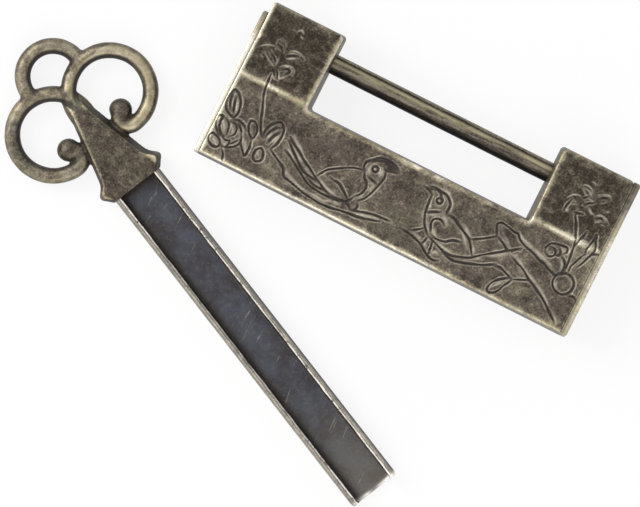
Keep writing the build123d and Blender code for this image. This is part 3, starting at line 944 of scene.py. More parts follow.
def front_plan(step):
    """The front's grid in plan. One side is worked out and its sign put back at the end. Gives
    the points once the corners are rounded, how far the rims have fallen there, the distance
    inside the nearest edge, which points hide behind the walls, the distances inside each edge,
    and the faces, without those across the gap."""
    x_lines, y_lines, side_index, floor_index = front_lines(step)
    x_ref, y_ref = np.meshgrid(x_lines, y_lines)
    rows, columns = x_ref.shape
    row, column = np.indices(x_ref.shape)
    mirror_column = np.minimum(column, columns - 1 - column)
    sign = np.where(x_ref < 0, -1.0, 1.0)
    x, y = np.abs(x_ref), y_ref

    # the ears' inner edges lean outwards a little towards the ridge
    share = ramp(CASE_END - x, CASE_END - SIDE_EDGE)
    x = x + (side_edge(np.maximum(y, RIDGE)) - SIDE_EDGE) * share * (x > EAR_INNER)
    dx, dy = gap_corner_shift(x - side_edge(y), y - BODY_EDGE)
    x, y = x + dx, y + dy
    end_in, top_in = CASE_END - x, EAR_EDGE - y
    outer_in, outer_top = round_ear_corners(end_in, top_in)
    inner_in, inner_top = round_ear_corners(x - side_edge(y), top_in)
    in_outer = end_in < EAR_CORNER
    x = np.where(in_outer, CASE_END - outer_in, side_edge(y) + inner_in)
    y = np.where(in_outer, EAR_EDGE - outer_top, EAR_EDGE - inner_top)

    # distances inside each edge, measured from the rounded corners' centres near the corners
    r = EAR_CORNER
    end_in, top_in, side_in = CASE_END - x, EAR_EDGE - y, x - side_edge(y)
    plain_end, plain_top = end_in, top_in
    outer, inner = (
        r - np.hypot(np.maximum(r - aside, 0), np.maximum(r - top_in, 0))
        for aside in (end_in, side_in)
    )
    near_outer = (top_in < r) & (end_in < r)
    near_inner = (top_in < r) & (np.abs(side_in) < r)
    end_in = np.where(near_outer, outer, end_in)
    centre_x, centre_y = side_edge(y) - GAP_CORNER, BODY_EDGE + GAP_CORNER
    wedge = (x > centre_x) & (y < centre_y)
    arc = np.hypot(x - centre_x, y - centre_y) - GAP_CORNER
    gap_in = np.where(wedge, arc, np.where(y >= centre_y, side_in, BODY_EDGE - y))
    gap_in = np.where(near_inner, inner, gap_in)
    top_in = np.where(near_inner, inner, np.where(near_outer, outer, top_in))
    low_in = y + BODY_EDGE
    edges = [(END_RIM, end_in), (WALL_RIM, low_in), (TOP_RIM, top_in), (GAP_RIM, gap_in)]
    drop = np.max([rim.drop(inside) for rim, inside in edges], axis=0)
    nearest = np.min([inside for _, inside in edges], axis=0)

    # the lowest row hides behind the walls
    gap_row = (row == floor_index) & (mirror_column >= side_index)
    gap_column = (mirror_column == side_index) & (row >= floor_index)
    tucked = (mirror_column == 0) | (row == 0) | (row == rows - 1) | gap_row | gap_column
    x = np.where(gap_column, side_edge(y) - GAP_RIM.out + TUCK, x)
    y = np.where(gap_row, BODY_EDGE + GAP_RIM.out - TUCK, y)
    corner = gap_row & gap_column
    x = np.where(corner, x - GAP_CORNER * (1 - sin(pi / 4)), x)
    y = np.where(corner, y + GAP_CORNER * (1 - cos(pi / 4)), y)
    drop = np.where(tucked, TUCK_FALL, drop)

    gap = (mirror_column >= side_index) & (row >= floor_index)
    keep = ~(gap[:-1, :-1] & gap[:-1, 1:] & gap[1:, :-1] & gap[1:, 1:])
    faces = sheet_quads(rows, columns)[keep.ravel()]
    plan = (grid.ravel() for grid in (x * sign, y, drop, nearest, tucked))
    inside = [np.maximum(edge.ravel(), 0) for edge in (low_in, gap_in, plain_end, plain_top)]
    return *plan, inside, faces


def front_skin(step):
    """The engraved face with its rims, as a height over its plan: the face's level, less the
    rims' fall, less the cuts, plus the lips and the casting's waver."""
    x, y, drop, nearest, tucked, inside, faces = front_plan(step)
    bells = engrave(np.stack([x, y], 1))
    cut = bells["cut"]
    lip, bead, swell = (bells[kind] * (1 - cut) for kind in ("lip", "bead", "swell"))
    cutting = bpy.context.scene.padlock_engraving
    calm = ramp(nearest, 0.5) * (~tucked)
    flat = np.stack([x, y, np.zeros_like(x)], 1)
    waver = 0.018 * cast_waver(flat, 2.6, 3) + 0.012 * cast_waver(flat, 0.7, 4)
    nicks = ramp(cast_waver(flat, 1.3, 5) - 0.35) * bell(nearest - 0.2, 0.22)
    nicked = (~tucked) * NICK_DEPTH * nicks * (nearest > 0.02)
    level = face_level(y) - drop + calm * waver - nicked
    raised = np.maximum.reduce([0.6 * lip, bead, swell])
    level += calm * (cutting.lip_height / MM * raised - cutting.cut_depth / MM * cut)
    chance = 0.75 + 0.7 * cast_waver(flat, 1.6, 15) + 0.3 * cast_waver(flat, 0.5, 16)
    # rubbed metal on the beads and swells, and a painted highlight on the cuts' lips
    rub_and_lip_highlight = np.maximum.reduce([0.95 * lip, bead, 0.85 * swell]) * np.clip(chance, 0.15, 1)
    # painted shade: the ears' leaning faces are darker than the face, a little less on the right
    # ear
    shade = ramp(y - RIDGE - 0.6) * ramp(nearest, 1.4) * np.where(x < 0, 1.0, 0.88)
    marks = {"cut": cut, "rub_and_lip_highlight": rub_and_lip_highlight, "rim": worn_and_lit_rims(flat, inside), "shade": shade}
    return np.stack([x, y, level], 1), faces, marks


def worn_and_lit_rims(flat, inside):
    """How far the ridge and the rims are rubbed and lit: a bell about each, stronger or weaker
    along its run as the photograph shows, and broken by a slow waver. The rims are worn metal with
    a painted highlight, brighter on the left end and the lower rims than on the right end and the
    ear tops."""
    x, y, _ = flat.T
    low_in, gap_in, end_in, top_in = inside
    left = x < 0
    luck = 0.75 + 0.5 * cast_waver(flat, 6.0, 18) + 0.25 * cast_waver(flat, 1.2, 19)
    luck = np.clip(luck, 0.55, 1.1)
    on_ear = ramp(np.abs(x) - EAR_INNER, 0.6)
    near_ear = bell(np.abs(x) - SIDE_EDGE, 3.5)
    low_share = np.interp(x, [-5, 15], [1.05, 0.8])
    floor_share = np.interp(x, [-16, -4, 12, 17], [0.85, 1.05, 1.15, 0.8])
    gap_share = np.where(y > BODY_EDGE + 1, np.where(left, 0.8, 0.6), floor_share)
    end_share, end_width = np.where(left, 0.95, 0.42), np.where(left, 0.6, 0.3)
    bands = [
        0.86 * on_ear * bell(y - RIDGE, 0.6) * (0.45 + 0.55 * luck),
        low_share * bell(low_in, 0.68) * (0.75 + 0.25 * luck),
        gap_share * bell(gap_in, 0.8, 2.5) * np.maximum(luck, near_ear),
        end_share * bell(end_in, end_width, 3),
        0.42 * bell(top_in, 0.5),
    ]
    return np.max(bands, axis=0)


def cad_walls(node, slope):
    """The triangles of a CAD node that are steeper than a slope, or turned down, with their
    doubled points merged."""
    points, corners, normals = mesh_arrays(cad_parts[node].data)
    corners = corners[normals[:, 2] < slope]
    places, index = np.unique(np.round(points, 5), axis=0, return_inverse=True)
    corners = index.ravel()[corners]
    used, corners = np.unique(corners, return_inverse=True)
    return places[used], corners.reshape(-1, 3)


class PADLOCK_OT_engraved_front(bpy.types.Operator):
    """Make the engraved front casting in place of the plain one"""

    bl_idname = "padlock.engraved_front"
    bl_label = "Engraved Front"

    def execute(self, context):
        step = context.scene.padlock_engraving.mesh_step / MM
        points, faces, marks = front_skin(step)
        walls, corners = cad_walls("case_front", WALL_SLOPE)
        joined = [*faces, *(corners + len(points))]
        plain = np.zeros(len(walls))
        marks = {name: np.concatenate([values, plain]) for name, values in marks.items()}
        piece = add_mesh("case_front_engraved", np.vstack([points, walls]), joined, marks)
        piece.data.set_sharp_from_angle(angle=radians(40))
        piece.data.materials.append(engraved_bronze())
        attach(piece, "case")
        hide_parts("case_front")
        return {"FINISHED"}


# ---- The drawn bar


class PADLOCK_OT_drawn_bar(bpy.types.Operator):
    """Make the round bar with its bevelled end and its turned tenon"""

    bl_idname = "padlock.drawn_bar"
    bl_label = "Drawn Bar"

    def execute(self, context):
        sizes = context.scene.padlock_bar
        centre = (BAR_LOW + BAR_HIGH) / 2
        start, shoulder, end = float(BAR_LOW[0]), CASE_END, float(BAR_HIGH[0])
        bevel, tenon = sizes.end_bevel / MM, sizes.tenon_diameter / 2 / MM
        stations, sides = 220, 72
        # half profile of the lathe: axis, bevel, long run, shoulder, tenon, axis
        run = np.linspace(start + bevel, shoulder, stations)
        along = np.r_[start, start, run, shoulder, shoulder, end, end]
        out = np.r_[0, BAR_RADIUS - bevel, [BAR_RADIUS] * stations, [tenon] * 3, 0]
        around = np.linspace(0, 2 * pi, sides, endpoint=False)
        along, turn = np.meshgrid(along, around, indexing="ij")
        out = np.broadcast_to(out[:, None], along.shape)
        # the long run wavers, in dents drawn out along the bar
        spot = np.stack([along / 4, np.cos(turn) * 2, np.sin(turn) * 2], -1).reshape(-1, 3)
        waver = sizes.waver / MM * cast_waver(spot, 1.1, 6).reshape(along.shape)
        out = np.where(out >= BAR_RADIUS * 0.99, out - np.abs(waver), out)
        y, z = centre[1] + out * np.cos(turn), centre[2] + out * np.sin(turn)
        faces = sheet_quads(*along.shape, closed=True)[:, ::-1]
        piece = add_mesh("shackle_bar_drawn", np.stack([along, y, z], -1).reshape(-1, 3), faces)
        merge_poles(piece)
        piece.data.set_sharp_from_angle(angle=radians(35))
        piece.data.materials.append(bar_bronze())
        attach(piece, "bolt")
        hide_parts("shackle_bar")
        return {"FINISHED"}


def merge_poles(piece):
    """Merges the doubled points at the poles and turns all faces outwards."""
    work = bmesh.new()
    work.from_mesh(piece.data)
    bmesh.ops.remove_doubles(work, verts=work.verts, dist=1e-7)
    bmesh.ops.recalc_face_normals(work, faces=work.faces)
    work.to_mesh(piece.data)
    work.free()
    piece.data.shade_smooth()


# ---- The key


def place_key(points):
    """Turns and moves points from the key's own axes into the row frame."""
    turn = np.array([[cos(KEY_TURN), -sin(KEY_TURN)], [sin(KEY_TURN), cos(KEY_TURN)]])
    placed = np.array(points, float)
    placed[:, :2] = placed[:, :2] @ turn.T + KEY_END
    return placed


def strand(path, half_width, half_height, level):
    """A tube along a flat path: on each point's cross line, the rounded oval
    (w sgn(c)|c|^0.8, h sgn(s)|s|^0.8) of cosine c and sine s, closed to a point at both ends."""
    count, around, roundness = len(path), 40, 2.5
    ahead = np.gradient(path, axis=0)
    ahead /= np.linalg.norm(ahead, axis=1, keepdims=True)
    across = np.stack([-ahead[:, 1], ahead[:, 0]], 1)
    t = np.linspace(0, 2 * pi, around, endpoint=False)
    c, s = (np.sign(k) * np.abs(k) ** (2 / roundness) for k in (np.cos(t), np.sin(t)))
    points = np.empty((count, around, 3))
    points[..., :2] = path[:, None, :] + across[:, None, :] * (half_width * c)[None, :, None]
    points[..., 2] = level + half_height * s
    return close_rings(points, np.append(path[0], level), np.append(path[-1], level))


def close_rings(rings, first, last):
    """A closed shell from rings of points, each end drawn to one point."""
    count, around, _ = rings.shape
    first, last = (np.broadcast_to(end, (1, around, 3)) for end in (first, last))
    points = np.concatenate([first, rings, last])
    return points.reshape(-1, 3), sheet_quads(count + 2, around, closed=True)


def arc_path(centre, radius, start, turn, count):
    """Points on an arc, from its centre, radius, start and turn in degrees."""
    a = np.radians(np.linspace(start, start + turn, count))
    return np.stack([centre[0] + radius * np.cos(a), centre[1] + radius * np.sin(a)], 1)


# The collar's stations: place along the key, half width, share of the full thickness
COLLAR = [
    (-17.4, 0.7, 0.5), (-16.6, 1.1, 0.62), (-15.6, 1.45, 0.76), (-14.2, 1.78, 0.93),
    (-12.8, 2.1, 1.0), (-9.6, 2.88, 1.0), (-6.4, 3.66, 1.0), (-4.6, 4.1, 1.0), (-3.6, 4.36, 1.0),
    (-2.95, 4.75, 1.0), (-2.3, 5.4, 1.0), (-1.95, 5.68, 1.0), (-1.4, 5.64, 1.0),
    (-0.75, 5.0, 1.0), (0.0, 4.4, 1.0),
]


def collar_loft(half_height):
    """The collar: across each station a flat hexagon, as wide as the taper at mid height and
    drafted in above and below it. Towards the neck it thins and sinks into the strands."""
    x = np.linspace(COLLAR[0][0], COLLAR[-1][0], 150)
    places, widths, shares = np.array(COLLAR).T
    width, share = (np.interp(x, places, values)[:, None] for values in (widths, shares))
    across = np.array([1, 1, -1, -1, -1, 1])
    draft = np.where(across > 0, 0.9, 0.45)
    height = np.array([0, 1, 1, 0, -1, -1])
    y = width * across - draft * across * np.abs(height) * share**2
    z = half_height * (1 + share * height)
    rings = np.stack([np.broadcast_to(x[:, None], y.shape), y, z], -1)
    return close_rings(rings, *([x[end], 0, half_height] for end in (0, -1)))


def knob(x, y, level):
    """A ball, a little flattened, round the end of a scroll: (r sin a cos b, r sin a sin b,
    h cos a)."""
    down, around = 25, 40
    a = np.linspace(0, pi, down)[:, None]
    b = np.linspace(0, 2 * pi, around, endpoint=False)[None, :]
    ball = [
        x + KNOB_RADIUS * np.sin(a) * np.cos(b),
        y + KNOB_RADIUS * np.sin(a) * np.sin(b),
        level + KNOB_HEIGHT * np.cos(a) + 0 * b,
    ]
    return np.stack(ball, -1).reshape(-1, 3), sheet_quads(down, around, closed=True)


class PADLOCK_OT_key_bow(bpy.types.Operator):
    """Make the scrolled bow and its collar as one smooth casting"""

    bl_idname = "padlock.key_bow"
    bl_label = "Key Bow"

    def execute(self, context):
        sizes = context.scene.padlock_key
        half_width, half_height = sizes.strand_width / 2 / MM, sizes.strand_height / 2 / MM
        parts = [collar_loft(STRAND_LEVEL)]
        curl, ring_turn, curl_turn, arch_start, arch_turn = 1.5, 285, 165, 76, 208
        lap = 0.1  # one ring lies this much above the middle and the other this much below
        for side in (1, -1):
            ring = (RING_X, side * RING_Y)
            wide = arc_path(ring, RING_RADIUS, side * ring_turn, -side * ring_turn, 150)
            centre = (RING_X + RING_RADIUS - curl, side * RING_Y)
            tight = arc_path(centre, curl, 0, -side * curl_turn, 40)
            path = np.vstack([wide, tight[1:]])
            parts.append(strand(path, half_width, half_height, STRAND_LEVEL + side * lap))
            parts.append(knob(*path[-1], STRAND_LEVEL))
        loop = arc_path((ARCH_X, 0), ARCH_RADIUS, arch_start, arch_turn, 110)
        parts.append(strand(loop, half_width, half_height - 0.1, STRAND_LEVEL))
        points, normals, edges, faces = cast_together(parts, sizes.casting_step / MM)
        marks = bow_marks(points, normals, convexity(points, normals, edges, rounds=12))
        waver = 0.02 * cast_waver(points, 1.1, 8) + 0.03 * cast_waver(points, 3.0, 9)
        points = points + normals * waver[:, None]
        points[:, 2] = np.maximum(points[:, 2], 0)
        piece = add_mesh("key_bow_cast", place_key(points), faces, marks)
        piece.data.materials.append(key_brass())
        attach(piece, "key")
        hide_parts("key_bow")
        return {"FINISHED"}


def cast_together(parts, step):
    """Joins closed shells into one skin: a voxel remesh, then smoothing, which also rounds the
    creases. It is done at one unit to the millimetre. Gives points, normals, edges and faces."""
    points, faces, start = [], [], 0
    for shell, quads in parts:
        points.append(shell)
        faces += [*(quads + start)]
        start += len(shell)
    rough = add_mesh("key_bow_rough", np.vstack(points) / MM, faces)
    merge_poles(rough)
    remesh = rough.modifiers.new("fuse", "REMESH")
    remesh.mode = "VOXEL"
    remesh.voxel_size = step
    smooth = rough.modifiers.new("fettle", "SMOOTH")
    smooth.factor = 0.5
    smooth.iterations = 6
    graph = bpy.context.evaluated_depsgraph_get()
    done = bpy.data.meshes.new_from_object(rough.evaluated_get(graph))
    bpy.data.objects.remove(rough)
    points = read_array(done.vertices, "co", 3)
    normals = read_array(done.vertex_normals, "vector", 3)
    edges = read_array(done.edges, "vertices", 2, int)
    quads = read_array(done.loops, "vertex_index", kind=int)
    sizes = read_array(done.polygons, "loop_total", kind=int)
    bpy.data.meshes.remove(done)
    return points, normals, edges, np.split(quads, np.cumsum(sizes)[:-1])


def convexity(points, normals, edges, rounds):
    """How far each point stands out of its neighbours' mean, along its normal, after the mean
    has been taken again and again, so that it reads the form and not the grain."""
    degree = np.bincount(edges.ravel(), minlength=len(points))[:, None]
    mean = points.copy()
    for _ in range(rounds):
        total = np.zeros_like(mean)
        for axis in range(3):
            total[:, axis] = np.bincount(edges[:, 0], mean[edges[:, 1], axis], len(points))
            total[:, axis] += np.bincount(edges[:, 1], mean[edges[:, 0], axis], len(points))
        mean = total / np.maximum(degree, 1)
    return np.einsum("ij,ij->i", points - mean, normals)


def bow_marks(points, normals, bulge):
    """Where the bow is rubbed and lit by a painted highlight, where grime stays and shade is
    painted, and where the collar's face is, from each point's place, its normal and how far it
    bulges. Grime fills the hollows; painted shade darkens the steep walls, the rings' inner walls,
    the collar's sides and the near knob; what bulges upward is rubbed, and the tops and the
    edges on one side carry a painted highlight."""
    x, y = points[:, 0], points[:, 1]
    aside, near_side = np.abs(y), y < 0
    on_collar = ramp(x + 15.5, 2.5) * ramp(4.6 + 0.25 * x - aside, 0.5)
    upward = ramp(normals[:, 2])
    # painted shade: the steeper the wall, the darker it is painted
    wall = ramp(1 - upward / 0.62)
    on_knob = bell(np.hypot(x - KNOB_X, aside - KNOB_Y), 1.9, 4)
    plain = ramp(on_collar + 0.8 * on_knob)
    rings = [(RING_X, side * RING_Y, RING_RADIUS) for side in (1, -1)]
    inner, outer, strands = (np.zeros(len(x)) for _ in range(3))
    for ring_x, ring_y, radius in [*rings, (ARCH_X, 0, ARCH_RADIUS)]:
        away = np.hypot(x - ring_x, y - ring_y)
        off = away - radius
        near = np.abs(off) < 1.5
        # painted shade: the rings' inner walls are darker in the half of each ring that is turned
        # to the arch
        shaded_half = 0.45 + 0.55 * ramp(0.4 - 1.3 * (x - ring_x) / away)
        inner = np.maximum(inner, near * shaded_half * ramp(-off - 0.42, 0.35))
        # painted highlight: a light line along the rings' outer edges on the near side
        outer = np.maximum(outer, near * ramp(off - 0.45, 0.4) * ramp(-y, 6))
        strands += ramp(1.8 - np.abs(off))
    outer = outer * (strands < 1.05)  # not where two strands meet
    inner, outer = inner * (1 - plain), outer * (1 - plain)
    # painted shade on the collar's steep sides
    steep = ramp(1.5 - upward / 0.5) * ramp(x + 15, 2) * (aside > 1.2) * (1 - on_knob)
    collar_side_shade = steep * (aside < 5.5 + 0.25 * x)
    # the collar's edge is lighter on one side than on the other: rubbed metal with a painted
    # highlight
    edge_rub_and_highlight = np.where(near_side, 1.0, 0.4) * np.where(x > -1.2, 0.5, 1.0)
    edge_rub_and_highlight = on_collar * edge_rub_and_highlight + (1 - on_collar) * (1 - 0.5 * on_knob)
    rub_and_highlight = ramp(3.4 * np.maximum(bulge, 0) * upward * edge_rub_and_highlight)
    # tops rubbed and lit by a painted highlight, weaker at the arch and on the near side
    top_rub_and_highlight = np.where((x < -19.5) | near_side, 0.2, 0.42)
    # grime in the hollows, and painted shade on the walls, the rings' inner sides and the collar's
    # sides
    hollow_and_shade = np.maximum.reduce([-7.0 * bulge - 0.05 + 0.25 * wall, 0.9 * inner, 0.8 * collar_side_shade])
    # painted shade: the near knob is darker and less rubbed
    near_knob = on_knob * near_side
    return {
        "rub_and_highlight": rub_and_highlight + upward**2 * (1 - plain) * top_rub_and_highlight + 0.3 * outer - 0.38 * near_knob,
        "hollow_and_shade": np.clip(hollow_and_shade * (1 - outer), 0, 0.92),
        "collar": np.maximum(on_collar, 0.75 * near_knob),
    }


class PADLOCK_OT_key_shank(bpy.types.Operator):
    """Make the key's channel with rounded, uneven rims"""

    bl_idname = "padlock.key_shank"
    bl_label = "Key Shank"

    def execute(self, context):
        sizes = context.scene.padlock_key
        y, z, on_floor, shadow = channel_section()
        along, y = np.meshgrid(np.linspace(0, SHANK_LENGTH, 230), y, indexing="ij")
        z, on_floor, shadow = (np.broadcast_to(k, y.shape) for k in (z, on_floor, shadow))
        # the tip is rounded: the section shrinks over its last stretch
        tip_round, tip_share, centre_z = 0.35, 0.55, 0.55
        near_tip = ramp(along - (SHANK_LENGTH - tip_round), tip_round)
        shrink = tip_round * tip_share * (1 - np.sqrt(1 - near_tip**2))
        y = y - np.sign(y) * np.minimum(np.abs(y), shrink) * (np.abs(y) > SHANK_INNER - 0.1)
        z = z - np.sign(z - centre_z) * np.minimum(np.abs(z - centre_z), shrink)
        flat = np.stack([along, y, z], -1).reshape(-1, 3)
        wander = cast_waver(flat, 2.2, 12) + 0.5 * cast_waver(flat, 0.9, 13)
        wander *= sizes.rim_waver / MM
        points = flat.copy()
        # the walls wander from a little above the floor, and fully near their rims
        low, rise = 1.4, 1.6
        high = ramp(points[:, 2] - low, rise)
        points[:, 1] += wander * high * (np.abs(points[:, 1]) < SHANK_HALF)
        points[:, 2] -= np.abs(wander) * 0.8 * high
        rows, columns = along.shape
        faces = [*sheet_quads(rows, columns, closed=True)]
        faces.append(list(range(columns))[::-1])
        faces.append(list(range((rows - 1) * columns, rows * columns)))
        along, on_floor, shadow = along.ravel(), on_floor.ravel(), shadow.ravel()
        scrape = 0.75 + 0.5 * cast_waver(flat, 1.4, 17) + 0.3 * flat[:, 1] / SHANK_HALF
        tip = ramp(along - (SHANK_LENGTH - 0.8), 0.6) * np.clip(scrape, 0.1, 1.1)
        floor = on_floor * (1 - ramp(tip))
        # painted shadow beside the walls and under the collar
        corner = np.maximum(shadow, floor * ramp(1.3 - along / 1.1))
        marks = {"floor": floor, "corner": corner, "tip": tip}
        piece = add_mesh("key_shank_channel", place_key(points), faces, marks)
        merge_poles(piece)
        piece.data.set_sharp_from_angle(angle=radians(50))
        piece.data.materials.append(shank_bronze())
        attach(piece, "key")
        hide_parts("key_shank")
        return {"FINISHED"}


def rounded_profile(corners, radii, step):
    """Half a section with its corners rounded: each corner gives way to an arc that touches both
    of its sides, and the runs between are divided evenly."""
    corners = np.asarray(corners, float)
    points = [corners[:1]]
    for k in range(1, len(corners) - 1):
        before, here, after = corners[k - 1], corners[k], corners[k + 1]
        a = (before - here) / np.linalg.norm(before - here)
        b = (after - here) / np.linalg.norm(after - here)
        half_angle = 0.5 * np.arccos(np.clip(a @ b, -1, 1))
        reach = radii[k] / tan(half_angle)
        start, end = here + a * reach, here + b * reach
        middle = here + (a + b) / np.linalg.norm(a + b) * radii[k] / sin(half_angle)
        t = np.linspace(0, 1, 7)[:, None]
        blend = start * (1 - t) + end * t - middle
        arc = middle + blend / np.linalg.norm(blend, axis=1, keepdims=True) * radii[k]
        points.append(arc)
    points.append(corners[-1:])
    line = np.vstack(points)
    dense = [line[:1]]
    for p, q in zip(line[:-1], line[1:]):
        count = max(1, int(np.ceil(np.linalg.norm(q - p) / step)))
        dense.append(p + (q - p) * (np.arange(1, count + 1) / count)[:, None])
    return np.vstack(dense)


def channel_section():
    """The channel's section, a drafted U with rounded corners: its two coordinates, then 1 on the
    floor and how dark the painted shadow and painted shade make it in the corners and up the inner
    walls. The left half is the right half mirrored and run backwards."""
    outer_top = SHANK_HALF - SHANK_TOP * tan(radians(5.0))
    inner_top = SHANK_INNER + (SHANK_TOP - SHANK_FLOOR) * tan(radians(2.0))
    outside = [(0, 0), (SHANK_HALF, 0), (outer_top, SHANK_TOP)]
    inside = [(inner_top, SHANK_TOP), (SHANK_INNER, SHANK_FLOOR), (0, SHANK_FLOOR)]
    right = rounded_profile([*outside, *inside], [0, 0.25, 0.2, 0.14, 0.25, 0], 0.1)
    y, z = np.vstack([right, right[::-1][1:-1] * (-1, 1)]).T
    in_channel = (z > SHANK_FLOOR - 0.02) & (np.abs(y) < inner_top - 0.02)
    on_floor = in_channel & (z < SHANK_FLOOR + 0.3)
    shadow = 1.15 * bell(y + SHANK_INNER, 0.72) * (y < 0) + bell(y - SHANK_INNER, 0.25) * (y > 0)
    # painted shade up the inner walls
    wall_shade = in_channel * ramp(SHANK_TOP - 0.35 - z, 0.4) * (z > SHANK_FLOOR + 0.1)
    return y, z, on_floor, np.maximum(np.clip(shadow, 0, 0.95) * on_floor, 0.85 * wall_shade)


# ---- Finishes of the pieces that stay as they are


class PADLOCK_OT_plain_pieces(bpy.types.Operator):
    """Give the back, the plates and the bolt works their metal"""

    bl_idname = "padlock.plain_pieces"
    bl_label = "Plain Pieces"

    def execute(self, context):
        finishes = (
            (case_bronze(), ("case_back",)),
            (plate_bronze(), ("keyhole_plate", "bolt_end_plate")),
            (
                spring_brass(),
                ("bolt_stem", "spring_leaf_upper", "spring_leaf_lower", "leaf_rivet"),
            ),
        )
        for material, nodes in finishes:
            for node in nodes:
                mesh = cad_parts[node].data
                mesh.materials.clear()
                mesh.materials.append(material)
        return {"FINISHED"}


# ---- Table, light and camera


class PADLOCK_OT_stage(bpy.types.Operator):
    """Set the white table, the soft light and the camera above"""

    bl_idname = "padlock.stage"
    bl_label = "Stage"

    def execute(self, context):
        stage = context.scene.padlock_stage
        table = add_mesh("table", table_points(), sheet_quads(2, 2)[:, ::-1])
        table.data.materials.append(table_white())
        soft_light("window", (-780, 60, 780), 700, stage.lamp_watts)
        soft_light("reflector", (380, -640, 800), 700, stage.lamp_watts / 2)
        world = bpy.data.worlds.new("studio")
        context.scene.world = world
        world.use_nodes = True
        studio_light(world.node_tree, stage.room_light)
        camera = bpy.data.objects.new("camera", bpy.data.cameras.new("camera"))
        context.scene.collection.objects.link(camera)
        middle = Vector((stage.view_x, stage.view_y, 0))
        turn = Matrix.Rotation(stage.view_turn, 4, "Z")
        camera.matrix_world = Matrix.Translation(middle + Vector((0, 0, stage.distance))) @ turn
        camera.data.lens = camera.data.sensor_width * stage.distance / stage.view_width
        camera.data.clip_end = 8 * stage.distance
        context.scene.camera = camera
        context.scene.view_settings.view_transform = "Standard"
        return {"FINISHED"}


def table_points():
    """A flat square, a hair under everything."""
    half, low = 2500.0, float(CAD_BOX[0][2]) / MM - 0.02
    x, y = np.meshgrid([-half, half], [-half, half])
    return np.stack([x, y, np.full_like(x, low)], -1).reshape(-1, 3)


def table_white():
    """White laminate. The camera and the metal see most of it as plain white, and the rest keeps
    the object's shadow."""
    material = bpy.data.materials.new("table_white")
    material.use_nodes = True
    matt = ("ShaderNodeBsdfDiffuse", {"Color": (0.94, 0.94, 0.94, 1)})
    glow = ("ShaderNodeEmission", {"Color": (1, 1, 1, 1)})
    show_white(material.node_tree, "ShaderNodeOutputMaterial", matt, glow, 0.86)
    return material


def show_white(tree, kind, real, white, share):
    """An output of a kind, with one shader for most rays and a share of a white one for the rays
    that show the background: from the camera, off metal or through glass."""
    tree.nodes.clear()
    output = add_node(tree, kind)
    real, white = (Wire(tree, add_node(tree, *shader).outputs[0]) for shader in (real, white))
    path = add_node(tree, "ShaderNodeLightPath")
    camera, glossy, clear = (
        Wire(tree, path.outputs[f"Is {ray} Ray"]) for ray in ("Camera", "Glossy", "Transmission")
    )
    seen = camera.over(glossy).over(clear) * share
    blend = add_node(tree, "ShaderNodeMixShader", {0: seen, 1: real, 2: white})
    tree.links.new(blend.outputs[0], output.inputs["Surface"])


def studio_light(tree, strength):
    """Even light from the whole room, and white where the room itself is seen."""
    room, white = (
        ("ShaderNodeBackground", {"Color": (1, 1, 1, 1), "Strength": power})
        for power in (strength, 1.0)
    )
    show_white(tree, "ShaderNodeOutputWorld", room, white, 1.0)


def soft_light(name, place, size, watts):
    """A square soft lamp that looks at the middle of the object."""
    light = bpy.data.lights.new(name, "AREA")
    light.shape = "SQUARE"
    light.size = size * MM
    light.energy = watts
    lamp = bpy.data.objects.new(name, light)
    bpy.context.scene.collection.objects.link(lamp)
    lamp.location = Vector(place) * MM
    middle = (CAD_BOX[0] + CAD_BOX[1]) / 2
    lamp.rotation_euler = (middle - lamp.location).to_track_quat("-Z", "Y").to_euler()


# ---- Values that a user may change


def length_value(name, description, default, **limits):
    """A length property, its default and limits given in millimetres."""
    limits = {limit: value * MM for limit, value in limits.items()}
    return FloatProperty(
        name=name, description=description, default=default * MM, unit="LENGTH", precision=5,
        **limits,
    )


class PadlockEngraving(bpy.types.PropertyGroup):
    cut_width: length_value("Cut width", "Width of a cut at its shoulders", 0.34, min=0.1, max=1.0)
    cut_depth: length_value("Cut depth", "Depth of a cut", 0.22, min=0.0, max=0.5)
    lip_height: length_value(
        "Lip height", "Height of the raised lip beside a cut", 0.07, min=0.0, max=0.2
    )
    mesh_step: length_value(
        "Mesh step", "Distance between points on the engraved face", 0.14, min=0.1, max=1.0
    )


class PadlockBar(bpy.types.PropertyGroup):
    end_bevel: length_value("End bevel", "Bevel at the bar's free end", 0.5)
    tenon_diameter: length_value("Tenon", "Diameter of the tenon in the end plate", 1.7)
    waver: length_value("Waver", "How uneven the drawn bar is", 0.015)


class PadlockKey(bpy.types.PropertyGroup):
    strand_width: length_value("Strand width", "Width of the bow's strands", 2.4)
    strand_height: length_value("Strand height", "Height of the bow's strands", 3.2)
    casting_step: length_value(
        "Casting step", "Grain of the mesh that fuses the bow", 0.17, min=0.1, max=1.0
    )
    rim_waver: length_value("Rim waver", "How unevenly the channel's rims run", 0.07)


def patina_colour(name, description, *screen):
    """A colour property whose default is given as it is seen on a screen."""
    return FloatVectorProperty(
        name=name, description=description, subtype="COLOR", size=3, min=0.0, max=1.0,
        default=linear(*screen),
    )


